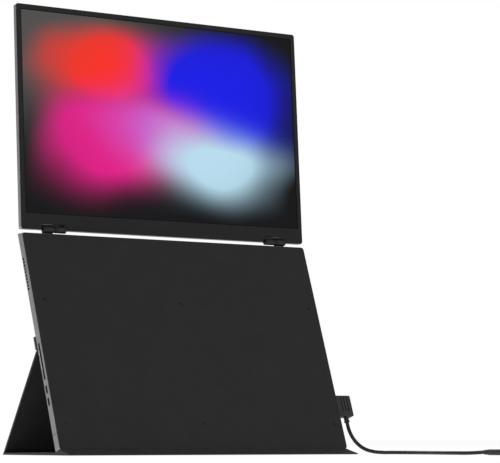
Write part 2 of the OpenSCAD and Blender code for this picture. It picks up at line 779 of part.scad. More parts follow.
// Leaf: Z up the panel from its rear-edge fold, Y = 0 the outer face, inwards to -fold_t
module leaf_mitred() {
    across(stand_w) polygon([
        [0, 0.2], [0, leaf_len - strip_mitre], [-fold_t, leaf_len - 0.1], [-fold_t, flap_mitre + 0.2]
    ]);
}
module leaf_piece(y0, y1, grow) {
    block(-stand_w / 2 + hem + grow, stand_w / 2 - hem - grow, y0, y1,
        flap_mitre + hem + grow, leaf_len - strip_mitre - hem - grow);
}

module stand_leaf() {
    color(soft_black) leaf_frame() difference() {
        leaf_mitred();
        leaf_piece(-fold_t - 1, -skin_t, 0);
    }
}
module leaf_board() {
    color([0.5, 0.45, 0.4]) leaf_frame() leaf_piece(-skin_t - board_in_t, -skin_t, fit);
}
module leaf_lining() {
    color([0.2, 0.2, 0.2]) leaf_frame() leaf_piece(-fold_t, -fold_t + lining_t, fit);
}

magnet_t = 2;
magnet_len = 44;
magnet_edge = 11;                                  // from the strip's end to its first magnet
magnet_x = [for (i = [-2.5:1:2.5]) i * (stand_w - magnet_len - 2 * magnet_edge) / 5];

module magnets(grow, depth) {
    for (x = magnet_x) block(x - magnet_len / 2 - grow, x + magnet_len / 2 + grow,
        fold_v - grow * 7, fold_v + depth, strip_u + 4 - grow, strip_u + strip_h - 3 + grow);
}

module stand_strip() {
    color(soft_black) on_base() difference() {
        across(stand_w) polygon([
            [fold_v, strip_u + 0.1], [fold_v + strip_t, strip_u + strip_t * tan(fold_turn / 2) + 0.4],
            [fold_v + strip_t, strip_u + strip_h - 0.8], [fold_v + strip_t - 0.8, strip_u + strip_h],
            [fold_v, strip_u + strip_h]
        ]);
        magnets(fit, magnet_t);
    }
}
module strip_magnets() { color(steel) on_base() magnets(0, magnet_t); }

// ---- lead -------------------------------------------------------------------------
elbow_x0 = side_x + seat_gap;
elbow_x1 = elbow_x0 + elbow_w;
elbow_u0 = port_low_u - elbow_drop;
sleeve_x = elbow_x1 - sleeve_inset;
sleeve_u = elbow_u0 - sleeve_len;
grip_w = 1.2;
grip_d = 0.5;
grip_x1 = elbow_x1 - 4.5;                          // outer side of the first grip groove
tongue_w = 8.3;
tongue_t = 2.4;

module elbow_plug() {
    corner = 1.6;
    color(soft_black) on_base() difference() {
        translate([(elbow_x0 + elbow_x1) / 2, port_y + elbow_t / 2, elbow_u0 + elbow_h / 2])
            rotate([90, 0, 0]) linear_extrude(elbow_t) rounded_rect(elbow_w, elbow_h, corner);
        for (x1 = [grip_x1:-grip_pitch:elbow_x0 + grip_pitch], s = [-1, 1])
            block(x1 - grip_w, x1, port_y + s * elbow_t / 2 - grip_d, port_y + s * elbow_t / 2 + grip_d,
                elbow_u0 + 6, elbow_u0 + elbow_h - corner);
    }
}

module elbow_tongue() {
    color(steel) on_base() difference() {
        stadium_x(side_x - 6, elbow_x0, port_y, port_low_u, tongue_w, tongue_t);
        stadium_x(side_x - 7, elbow_x0 - 2, port_y, port_low_u, tongue_w - 0.7, tongue_t - 0.7);
    }
}

// Neck under the elbow with a collar where the lead leaves it
module cable_sleeve() {
    collar = 1.2;
    color(soft_black) on_base()
        translate([sleeve_x, port_y, sleeve_u]) difference() {
            union() {
                cylinder(r = sleeve_r + 0.4, h = collar, $fn = 40);
                cylinder(r = sleeve_r, h = sleeve_len, $fn = 40);
            }
            for (z = [2.2, 4]) translate([0, 0, z]) rotate_extrude($fn = 40)
                translate([sleeve_r - 0.4, 0]) square([2, 0.7]);
        }
}

cord_exit = [for (drop = [0, 6]) let (p = base_point(port_y, sleeve_u - drop)) [sleeve_x, p[0], p[1]]];
// Route of the lead after it leaves the sleeve, chosen by hand, to the far plug
cord_rest = [
    [192.6, -38.3, 23.4], [193.9, -42.8, 16.6], [195.8, -48.8, 10.6], [198.4, -56.8, 5.8],
    [201.8, -67, 3], [205.8, -79, 2], [209.5, -92, 2], [212.2, -106, 2], [213.5, -120, 2],
    [213.3, -134, 2], [212, -148, 2], [210.2, -162, 2], [208.5, -176, 2], [207.6, -190, 2],
    [207.6, -204, 2], [208.6, -218, 2], [210.4, -231, 2.4], [212, -243, 3], [212, -254, 3]
];
cord_points = concat(cord_exit, cord_rest);
cord_sides = 10;

function unit(v) = v / norm(v);
function heading(p, i) = unit(p[min(i + 1, len(p) - 1)] - p[max(i - 1, 0)]);
function ring(c, d, r) = let (
    side = unit(cross(d, abs(d[2]) > 0.9 ? [0, 1, 0] : [0, 0, 1])),
    lift = cross(side, d)
) [for (k = [0:cord_sides - 1]) let (a = 360 * k / cord_sides) c + r * (cos(a) * side + sin(a) * lift)];

module cable() {
    n = len(cord_points);
    rings = [for (i = [0:n - 1]) ring(cord_points[i], heading(cord_points, i), cord_d / 2)];
    walls = [for (i = [0:n - 2], k = [0:cord_sides - 1]) let (
        a = i * cord_sides + k, b = i * cord_sides + (k + 1) % cord_sides
    ) [a, b, b + cord_sides, a + cord_sides]];
    color(soft_black) polyhedron(
        points = [for (r = rings, p = r) p],
        faces = concat(walls, [[for (k = [cord_sides - 1:-1:0]) k]],
            [[for (k = [0:cord_sides - 1]) (n - 1) * cord_sides + k]])
    );
}

far_end = cord_points[len(cord_points) - 1];
far_plug_w = 11;
far_plug_t = 6;
module far_plug() {
    color(soft_black) translate(far_end) rotate([90, 0, 0])
        linear_extrude(far_plug_len) rounded_rect(far_plug_w, far_plug_t, 2.2);
}
module far_tongue() {
    color(steel) translate(far_end - [0, far_plug_len, 0]) rotate([90, 0, 0]) linear_extrude(6.6)
        difference() {
            rounded_rect(tongue_w, tongue_t, tongue_t / 2 - eps);
            rounded_rect(tongue_w - 0.7, tongue_t - 0.7, (tongue_t - 0.7) / 2 - eps);
        }
}

display_back_shell();
display_bezel();
lcd_panel();
light_guide();
panel_chassis();
led_strip();
timing_board();
foam_pads();
display_screws();
display_bracket_left();
display_bracket_right();
hinge_shaft_left();
hinge_shaft_right();
base_rear_shell();
base_front_cover();
base_end_cap();
front_lip();
driver_board();
right_port_board();
button_board();
strike_plate();
usb_socket_upper_left();
usb_socket_lower_left();
usb_socket_right();
speaker_left();
speaker_right();
base_bracket_left();
base_bracket_right();
friction_washers();
bracket_screws();
cover_screws();
flat_cable();
power_key();
rocker_key();
floor_flap();
flap_board();
flap_lining();
stand_leaf();
leaf_board();
leaf_lining();
stand_strip();
strip_magnets();
elbow_plug();
elbow_tongue();
cable_sleeve();
cable();
far_plug();
far_tongue();
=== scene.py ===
"""Looks of the laptop screen extender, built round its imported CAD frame.

The extender is a display hinged above a slim upright housing, with a folding
cover stand behind and a short lead at its right side. Each sub-assembly is one
class. Its sizes are in millimetres, and the modelling functions turn them into
metres. Matrices, lights and finishes are in metres.
"""

import json
import logging
import math
from dataclasses import dataclass, field
from enum import Enum
from typing import Callable, ClassVar, Optional, Sequence, Union

import bmesh
import bpy
from mathutils import Matrix, Vector


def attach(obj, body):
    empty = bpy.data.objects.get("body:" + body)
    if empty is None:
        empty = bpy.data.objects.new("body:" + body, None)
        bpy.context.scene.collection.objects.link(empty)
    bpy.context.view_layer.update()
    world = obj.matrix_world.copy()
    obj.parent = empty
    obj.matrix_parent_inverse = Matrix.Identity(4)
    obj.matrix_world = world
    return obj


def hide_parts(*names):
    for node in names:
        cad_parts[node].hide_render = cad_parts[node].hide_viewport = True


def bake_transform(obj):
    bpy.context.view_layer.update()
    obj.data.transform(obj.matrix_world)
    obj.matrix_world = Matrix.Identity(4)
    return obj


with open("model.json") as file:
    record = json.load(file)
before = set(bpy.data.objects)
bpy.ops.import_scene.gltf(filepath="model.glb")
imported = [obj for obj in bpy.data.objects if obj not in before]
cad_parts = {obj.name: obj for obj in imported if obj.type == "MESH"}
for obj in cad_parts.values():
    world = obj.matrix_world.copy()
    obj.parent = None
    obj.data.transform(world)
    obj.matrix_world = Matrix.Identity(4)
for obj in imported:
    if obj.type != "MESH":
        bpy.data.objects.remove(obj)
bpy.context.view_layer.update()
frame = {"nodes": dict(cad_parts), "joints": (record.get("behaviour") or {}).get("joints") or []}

LOG = logging.getLogger("extender")
MM = 0.001
QUARTER = math.pi / 2
MIRROR_X = Matrix.Scale(-1, 4, (1, 0, 0))

Triple = tuple[float, float, float]
Colour = Triple
Pair = tuple[float, float]
Point = Sequence[float]
Obj = bpy.types.Object
Test = Callable[[Union[bmesh.types.BMFace, bmesh.types.BMEdge]], bool]


# ---- shader building -----------------------------------------------------------------
Term = Union["Sock", float]


def operator(operation: str) -> Callable[["Sock", Term], "Sock"]:
    """A method that adds the Math node of an arithmetic operator.

    Args:
        operation: the Math node's operation.

    Returns:
        The method.
    """
    def method(self: "Sock", other: Term) -> "Sock":
        """The result of the operation."""
        return self.apply(operation, self, other)

    return method


class Sock:
    """A shader socket whose arithmetic adds Math nodes."""

    def __init__(self, graph: "Graph", socket: bpy.types.NodeSocket) -> None:
        """Wraps socket, which belongs to graph."""
        self.graph = graph
        self.socket = socket

    def apply(self, operation: str, *values: Term) -> "Sock":
        """The output of a new Math node with these values as its inputs."""
        return self.graph.add("ShaderNodeMath", {"operation": operation}, dict(enumerate(values)))

    __add__ = __radd__ = operator("ADD")
    __mul__ = operator("MULTIPLY")
    __sub__ = operator("SUBTRACT")
    __truediv__ = operator("DIVIDE")
    __pow__ = operator("POWER")

    def exp(self) -> "Sock":
        """e to the power of self."""
        return self.apply("EXPONENT", self)

    def clip(self, low: float = 0.0, high: float = 1.0) -> "Sock":
        """self held between low and high."""
        return self.apply("MINIMUM", self.apply("MAXIMUM", self, low), high)


Value = Union[Sock, float, Colour]


class Graph:
    """The node tree of one material, with one Principled BSDF."""

    def __init__(self, name: str) -> None:
        """Makes an empty material called name.

        Args:
            name: the material's name.
        """
        self.material = bpy.data.materials.new(name)
        self.material.use_nodes = True
        self.tree = self.material.node_tree
        self.tree.nodes.clear()
        self.output = self.tree.nodes.new("ShaderNodeOutputMaterial")
        self.surface = self.tree.nodes.new("ShaderNodeBsdfPrincipled")
        self.tree.links.new(self.surface.outputs[0], self.output.inputs[0])

    def add(
        self,
        kind: str,
        settings: Optional[dict] = None,
        inputs: Optional[dict] = None,
        output: Union[int, str] = 0,
    ) -> Sock:
        """Adds one node.

        Args:
            kind: the node's type.
            settings: properties set first.
            inputs: values or sockets by input name or number.
            output: which output to return.

        Returns:
            The wrapped output.
        """
        node = self.tree.nodes.new(kind)
        for key, value in (settings or {}).items():
            setattr(node, key, value)
        for key, value in (inputs or {}).items():
            self.put(node.inputs[key], value)
        return Sock(self, node.outputs[output])

    def put(self, socket: bpy.types.NodeSocket, value: Value) -> None:
        """Links or sets socket to value.

        Args:
            socket: an input.
            value: what goes into it.
        """
        if isinstance(value, Sock):
            self.tree.links.new(value.socket, socket)
        elif isinstance(value, (int, float)):
            socket.default_value = value
        else:
            size = len(socket.default_value)
            socket.default_value = tuple(value) if len(value) == size else (*value, 1.0)

    def set(self, **values: Value) -> None:
        """Sets the Principled BSDF's sockets, named with _ for a space."""
        for name, value in values.items():
            self.put(self.surface.inputs[name.replace("_", " ")], value)

    def place(self) -> Sock:
        """Object coordinates, in metres."""
        return self.add("ShaderNodeTexCoord", output="Object")

    def noise(self, scale: float, detail: float = 2.0, at: Optional[Sock] = None) -> Sock:
        """Noise of scale cells to the metre, about 0.5."""
        inputs = {"Vector": at or self.place(), "Scale": scale, "Detail": detail}
        return self.add("ShaderNodeTexNoise", inputs=inputs)

    def cells(self, scale: float) -> Sock:
        """Distance to the nearest point of a Voronoi pattern."""
        return self.add("ShaderNodeTexVoronoi", inputs={"Vector": self.place(), "Scale": scale})

    def streaks(self, detail: float, *scale: float) -> Sock:
        """Noise whose scale differs along the three axes."""
        inputs = {"Vector": self.place(), "Scale": scale}
        return self.noise(1.0, detail, self.add("ShaderNodeMapping", inputs=inputs))

    def mix(self, factor: Value, low: Value, high: Value) -> Sock:
        """A colour mix of low and high."""
        inputs = {0: factor, 6: low, 7: high}
        return self.add("ShaderNodeMix", {"data_type": "RGBA"}, inputs, output=2)

    def along(self, direction: Point, offset: float = 0.0) -> Sock:
        """Distance in metres along direction, less offset."""
        inputs = {0: self.place(), 1: tuple(direction)}
        product = {"operation": "DOT_PRODUCT"}
        return self.add("ShaderNodeVectorMath", product, inputs, output="Value") - offset

    def bump(self, height: Sock, distance: float) -> None:
        """Bumps the surface by height times distance, in metres."""
        self.set(Normal=self.add("ShaderNodeBump", inputs={"Height": height, "Distance": distance}))


class Grain(Enum):
    """Kinds of fine surface relief."""

    BLASTED = "blasted"
    MOULDED = "moulded"
    LEATHER = "leather"
    FIBRE = "fibre"
    ROLLED = "rolled"


@dataclass(frozen=True)
class Finish:
    """One finish: a colour that varies a little, with fine relief."""

    name: str  # the material's name
    slot: str  # the material slot of the record that it belongs to
    colour: Colour  # its linear base colour
    rough: float = 0.5  # its mean roughness
    metal: float = 0.0  # how metallic it is
    vary: float = 0.12  # how far the colour swings from light to dark
    grain: Grain = Grain.MOULDED  # the kind of relief
    grain_scale: float = 2600.0  # cells of relief to the metre
    grain_depth: float = 0.00002  # depth of the relief in metres
    specular: float = 0.3  # specular level, 0.5 for plain plastic
    sheen: float = 0.0  # weight of the soft sheen
    coat: float = 0.0  # weight of the clear coat
    smear: float = 0.16  # how far the roughness swings

    def relief(self, graph: Graph) -> Sock:
        """The height pattern of the grain.

        Args:
            graph: the material to add it to.

        Returns:
            The height.
        """
        fine = self.grain_scale
        if self.grain is Grain.LEATHER:
            return graph.cells(fine) * 0.7 + graph.noise(fine * 0.35, 3.0) * 0.6
        if self.grain is Grain.FIBRE:
            across = graph.streaks(3.0, fine, fine * 0.2, fine * 0.2)
            return (across + graph.streaks(3.0, fine * 0.2, fine, fine)) * 0.5
        if self.grain is Grain.ROLLED:
            return graph.streaks(2.0, fine * 0.04, fine, fine)
        return graph.noise(fine, 1.0 if self.grain is Grain.BLASTED else 3.0)

    def tint(self, graph: Graph, relief: Sock) -> Sock:
        """The base colour with broad patches and the grain's own shade."""
        patches = graph.noise(38.0, 3.0) * 0.7 + relief * 0.3
        dark = tuple(c * (1 - self.vary) for c in self.colour)
        light = tuple(min(1.0, c * (1 + self.vary)) for c in self.colour)
        return graph.mix(((patches - 0.3) * 2.5).clip(), dark, light)

    def build(self) -> bpy.types.Material:
        """The material, made once and then shared.

        Returns:
            The material.
        """
        found = bpy.data.materials.get(self.name)
        if found:
            return found
        graph = Graph(self.name)
        relief = self.relief(graph)
        smear = graph.noise(160.0, 4.0)
        graph.set(
            Base_Color=self.tint(graph, relief),
            Roughness=(self.rough + (smear - 0.5) * self.smear).clip(0.05, 0.95),
            Metallic=self.metal,
            Coat_Weight=self.coat,
            Specular_IOR_Level=self.specular,
        )
        if self.sheen:
            graph.set(Sheen_Weight=self.sheen, Sheen_Roughness=0.4)
        graph.bump(relief, self.grain_depth)
        self.extend(graph)
        return graph.material

    def extend(self, graph: Graph) -> None:
        """Room for what a special finish adds."""


@dataclass(frozen=True)
class PictureFinish(Finish):
    """A lit screen with soft blobs of colour that run into each other."""

    right: Triple = (1.0, 0.0, 0.0)  # unit direction across the picture
    up: Triple = (0.0, 0.0, 1.0)  # unit direction up the picture
    low: float = 0.0  # distance along up of the picture's middle
    half: Pair = (0.17, 0.11)  # half the picture's width and height

    WARP = 0.5  # how far noise bends the picture
    VIGNETTE = 0.9  # how soon the ground takes over towards the rim
    DARK = (0.006, 0.006, 0.007)  # the ground's colour
    FALL = 1.35  # how steeply a blob fades
    # across, up, radius across, radius up, turn in degrees, colour, strength
    CORNER = (-0.95, 0.85, 0.90, 0.95, 0, (0.080, 0.077, 0.074), 1.2)
    BLOBS = (
        (-0.40, 0.48, 0.46, 0.42, -20, (0.95, 0.030, 0.016), 1.5),
        (0.44, 0.34, 0.46, 0.60, 16, (0.008, 0.010, 0.78), 1.6),
        (-0.40, -0.26, 0.52, 0.40, 16, (0.74, 0.012, 0.24), 1.4),
        (0.02, -0.20, 0.40, 0.30, -24, (0.58, 0.10, 0.58), 1.1),
        (0.44, -0.42, 0.43, 0.36, 6, (0.48, 0.72, 0.85), 1.3),
    )

    def blob(self, across: Sock, up: Sock, spec: tuple) -> Sock:
        """One soft blob's share, from 0 to 1.

        Args:
            across: place across the picture, -1 to 1.
            up: place up the picture, -1 to 1.
            spec: the row that describes the blob.

        Returns:
            The share.
        """
        x, y, rx, ry, turn, _, strength = spec
        c, s = math.cos(math.radians(turn)), math.sin(math.radians(turn))
        u, v = across - x, up - y
        near = ((u * c + v * s) / rx) ** 2.0 + ((v * c - u * s) / ry) ** 2.0
        return ((near ** self.FALL * -1.0).exp() * strength).clip()

    def extend(self, graph: Graph) -> None:
        """Paints the blobs on a dark ground that shows round the rim, and lights them.

        Args:
            graph: the material to add them to.
        """
        wide, high = self.half
        across = graph.along(self.right) / wide + (graph.noise(9.0, 1.0) - 0.5) * self.WARP
        up = graph.along(self.up, self.low) / high + (graph.noise(7.0, 1.0) - 0.5) * self.WARP
        ground = graph.mix(self.blob(across, up, self.CORNER), self.DARK, self.CORNER[5])
        picture: Value = ground
        for spec in self.BLOBS:
            picture = graph.mix(self.blob(across, up, spec), picture, spec[5])
        rim = ((across ** 2.0) ** 3.0 + (up ** 2.0) ** 3.0) * self.VIGNETTE
        picture = graph.mix(rim.clip(), picture, ground)
        graph.set(Emission_Color=picture, Emission_Strength=1.0)


# ---- modelling -----------------------------------------------------------------------
def clear() -> None:
    """Deselects everything."""
    if bpy.context.object and bpy.context.object.mode != "OBJECT":
        bpy.ops.object.mode_set(mode="OBJECT")
    bpy.ops.object.select_all(action="DESELECT")


def focus(obj: Obj) -> None:
    """Makes obj the only selected object."""
    clear()
    obj.select_set(True)
    bpy.context.view_layer.objects.active = obj


def start(name: str, add: Callable, **settings: object) -> Obj:
    """A new primitive called name, the start of a shape.

    Args:
        name: the object's name.
        add: the operator that adds it.
        **settings: what that operator takes, in metres.

    Returns:
        The object.
    """
    clear()
    add(**settings)
    obj = bpy.context.object
    obj.name = name
    settle(obj)
    return obj


def link(name: str, data: bpy.types.ID) -> Obj:
    """A new object called name with data, in the scene."""
    obj = bpy.data.objects.new(name, data)
    bpy.context.scene.collection.objects.link(obj)
    return obj


def around(middle: float, half: float) -> Pair:
    """The limits at half to either side of middle."""
    return middle - half, middle + half


def block(name: str, *limits: Pair) -> Obj:
    """A box between two limits along each of X, Y and Z, to be shaped further."""
    middle = [(a + b) / 2 * MM for a, b in limits]
    size = [abs(b - a) * MM for a, b in limits]
    return start(name, bpy.ops.mesh.primitive_cube_add, size=1, location=middle, scale=size)


def prism(name: str, outline: Sequence[Pair], half_w: float) -> Obj:
    """A solid across X with the (Y, Z) outline, to be shaped further.

    Args:
        name: the object's name.
        outline: its points round.
        half_w: half its width across X.

    Returns:
        The object.
    """
    obj = start(name, bpy.ops.mesh.primitive_circle_add, vertices=len(outline), radius=1,
                fill_type="NGON")
    bpy.ops.object.mode_set(mode="EDIT")
    mesh = bmesh.from_edit_mesh(obj.data)
    for vert, (y, z) in zip(mesh.verts, outline):
        vert.co = Vector((-half_w, y, z)) * MM
    bmesh.update_edit_mesh(obj.data)
    bpy.ops.mesh.select_all(action="SELECT")
    bpy.ops.mesh.extrude_region_move(TRANSFORM_OT_translate={"value": (2 * half_w * MM, 0, 0)})
    bpy.ops.mesh.select_all(action="SELECT")
    bpy.ops.mesh.normals_make_consistent(inside=False)
    done()
    return obj


def join(objs: Sequence[Obj], name: str) -> Obj:
    """Joins objs into one object called name.

    Args:
        objs: the objects, of which the first one stays.
        name: the name of the whole.

    Returns:
        The first object.
    """
    focus(objs[0])
    for obj in objs[1:]:
        obj.select_set(True)
    bpy.ops.object.join()
    objs[0].name = name
    return objs[0]


def stadium(name: str, x: Pair, centre: Pair, length: float, width: float) -> Obj:
    """A bar across X with a stadium outline.

    Args:
        name: the object's name.
        x: where it starts and ends across X.
        centre: its middle in Y and Z.
        length: its length along Z.
        width: its width along Y.

    Returns:
        The object.
    """
    bar = block(name, x, around(centre[0], width / 2), around(centre[1], length / 2))
    bevel(bar, width * 0.499, lying(1, 0, 0), 8)
    return bar


def turned(name: str, rings: Sequence[Pair], sides: int = 40) -> Obj:
    """A closed turned shape about Z.

    Args:
        name: the object's name.
        rings: (height, radius) from the bottom up.
        sides: how many sides the round has.

    Returns:
        The object.
    """
    height, radius = rings[0]
    obj = start(name, bpy.ops.mesh.primitive_circle_add, vertices=sides, radius=radius * MM,
                fill_type="NGON", location=(0, 0, height * MM))
    bpy.ops.object.mode_set(mode="EDIT")
    bpy.ops.mesh.select_all(action="SELECT")
    for level, size in rings[1:]:
        bpy.ops.mesh.extrude_region_move(
            TRANSFORM_OT_translate={"value": (0, 0, (level - height) * MM)}
        )
        grow = size / radius
        bpy.ops.transform.resize(value=(grow, grow, 1), center_override=(0, 0, level * MM))
        height, radius = level, size
    done()
    smooth(obj)
    return obj


def ribbon(name: str, half_w: float, path: Sequence[Pair], thick: float) -> Obj:
    """A flexible strip across X that follows path, with rounded edges.

    Args:
        name: the object's name.
        half_w: half its width across X.
        path: its middle line as (Y, Z) points.
        thick: its thickness.

    Returns:
        The object.
    """
    path = [(y * MM, z * MM) for y, z in path]
    obj = start(name, bpy.ops.mesh.primitive_plane_add, size=2 * half_w * MM,
                location=(0, *path[0]))
    bpy.ops.object.mode_set(mode="EDIT")
    mesh = bmesh.from_edit_mesh(obj.data)
    for vert in mesh.verts:
        vert.co.y, vert.co.z = path[0] if vert.co.y < path[0][0] else path[1]
    bpy.ops.mesh.select_mode(type="EDGE")
    bpy.ops.mesh.select_all(action="DESELECT")
    for edge in mesh.edges:
        ends = [v.co for v in edge.verts]
        edge.select_set(all((c.yz - Vector(path[1])).length < 1e-7 for c in ends))
    bmesh.update_edit_mesh(obj.data)
    for before, after in zip(path[1:], path[2:]):
        step = (0, after[0] - before[0], after[1] - before[1])
        bpy.ops.mesh.extrude_region_move(TRANSFORM_OT_translate={"value": step})
    done()
    smooth(obj, 60)
    modify(obj, "SOLIDIFY", thickness=thick * MM, offset=0.0)
    bevel(obj, thick * 0.3, sharper(), 2)
    bpy.ops.object.shade_smooth_by_angle(angle=math.radians(50))
    return obj


def cut(obj: Obj, cutters: Sequence[Obj]) -> None:
    """Cuts the cutters out of obj and removes them."""
    for cutter in cutters:
        modify(obj, "BOOLEAN", operation="DIFFERENCE", solver="EXACT", object=cutter)
        bpy.data.objects.remove(cutter)


def row(obj: Obj, step: Point, count: int) -> None:
    """Repeats obj's mesh count times, step apart."""
    modify(
        obj, "ARRAY", count=count, use_relative_offset=False, use_constant_offset=True,
        constant_offset_displace=Vector(step) * MM,
    )


def settle(obj: Obj, place: Optional[Matrix] = None) -> None:
    """Puts obj's place, and place before it, into its mesh."""
    focus(obj)
    if place is not None:
        obj.matrix_world = place @ obj.matrix_world
    bpy.ops.object.transform_apply(location=True, rotation=True, scale=True)


def edit(obj: Obj, kind: str, test: Test) -> int:
    """Enters edit mode with the faces or edges that pass test selected.

    Args:
        obj: the mesh object.
        kind: "FACE" or "EDGE".
        test: says which are selected.

    Returns:
        How many were selected.
    """
    focus(obj)
    bpy.ops.object.mode_set(mode="EDIT")
    bpy.ops.mesh.select_mode(type=kind)
    bpy.ops.mesh.select_all(action="DESELECT")
    mesh = bmesh.from_edit_mesh(obj.data)
    chosen = [e for e in (mesh.faces if kind == "FACE" else mesh.edges) if test(e)]
    for element in chosen:
        element.select_set(True)
    mesh.select_flush_mode()
    bmesh.update_edit_mesh(obj.data)
    return len(chosen)


def done() -> None:
    """Leaves edit mode."""
    bpy.ops.object.mode_set(mode="OBJECT")


def bevel(obj: Obj, width: float, test: Test, segments: int = 3) -> None:
    """Rounds the edges of obj that pass test."""
    if edit(obj, "EDGE", test):
        bpy.ops.mesh.bevel(offset=width * MM, segments=segments, affect="EDGES", clamp_overlap=True)
    done()


def sink(obj: Obj, test: Test, border: float, depth: float) -> None:
    """Insets the faces that pass test by border, depth below (or, negative, above)."""
    if edit(obj, "FACE", test):
        bpy.ops.mesh.inset(thickness=border * MM, depth=-depth * MM, use_even_offset=True)
    done()


def modify(obj: Obj, kind: str, **settings: object) -> None:
    """Adds a modifier to obj and applies it.

    Args:
        obj: the mesh object.
        kind: the kind of modifier.
        **settings: its properties.
    """
    focus(obj)
    modifier = obj.modifiers.new(kind.lower(), kind)
    for key, value in settings.items():
        setattr(modifier, key, value)
    bpy.ops.object.modifier_apply(modifier=modifier.name)


def smooth(obj: Obj, degrees: float = 35.0) -> None:
    """Turns the faces outwards and shades them smooth up to an angle.

    Args:
        obj: the mesh object.
        degrees: that angle.
    """
    edit(obj, "FACE", lambda f: True)
    bpy.ops.mesh.remove_doubles(threshold=1e-6)
    bpy.ops.mesh.normals_make_consistent(inside=False)
    done()
    bpy.ops.object.shade_smooth_by_angle(angle=math.radians(degrees))


def copy(obj: Obj, name: str, place: Matrix) -> Obj:
    """A copy of obj with its own mesh, moved by place.

    Args:
        obj: the object.
        name: the copy's name.
        place: the move.

    Returns:
        The copy.
    """
    twin = obj.copy()
    twin.data = obj.data.copy()
    twin.name = name
    bpy.context.scene.collection.objects.link(twin)
    settle(twin, place)
    return twin


def shift(x: float, y: float, z: float) -> Matrix:
    """A move in millimetres."""
    return Matrix.Translation(Vector((x, y, z)) * MM)


def point_in(place: Matrix, x: float, y: float, z: float) -> Vector:
    """The point x, y, z of the frame place, in millimetres of the whole."""
    return place @ (Vector((x, y, z)) * MM) / MM


def facing(*direction: float) -> Test:
    """A test for faces whose normal points along direction."""
    return lambda face: face.normal.dot(Vector(direction)) > 0.9


def lying(*direction: float) -> Test:
    """A test for edges that lie along direction, either way.

    Args:
        *direction: a unit direction.

    Returns:
        The test.
    """
    def test(edge: bmesh.types.BMEdge) -> bool:
        """Whether edge lies along direction."""
        run = edge.verts[1].co - edge.verts[0].co
        return run.length > 0 and abs(run.normalized().dot(Vector(direction))) > 0.99

    return test


def sharper(angle: float = 1.2) -> Test:
    """A test for edges that turn by more than angle, in radians."""
    return lambda edge: edge.calc_face_angle(0) > angle


@dataclass
class Places:
    """The local frames of the assembly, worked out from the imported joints."""

    housing_lean: float = 20.0  # lean of the housing from upright, in degrees
    display_lean: float = 3.8  # lean of the display from upright, in degrees
    housing_h: float = 243  # height of the housing along its slope
    edge_gap: float = 0.6  # gap from the hinge axis to the housing
    hinge_front: float = -0.25  # the hinge axis in front of the housing's face
    joints: dict[str, Vector] = field(default_factory=dict)  # where each joint is

    def __post_init__(self) -> None:
        """Reads the joints and makes the matrices."""
        self.joints = {j["name"]: Vector(j["pos_m"]) / MM for j in frame["joints"] if "pos_m" in j}
        axis = shift(*self.joints["display_tilt"])
        lean = Matrix.Rotation(math.radians(-self.housing_lean), 4, "X")
        self.housing = axis @ lean @ shift(0, -self.hinge_front, -self.housing_h - self.edge_gap)
        self.display = axis @ Matrix.Rotation(math.radians(-self.display_lean), 4, "X")
        self.rear = shift(*self.joints["leaf_fold"])
        self.leaf_run = self.joints["strip_fold"] - self.joints["leaf_fold"]
        self.flap = shift(0, self.joints["stand_fold"].y, 0)


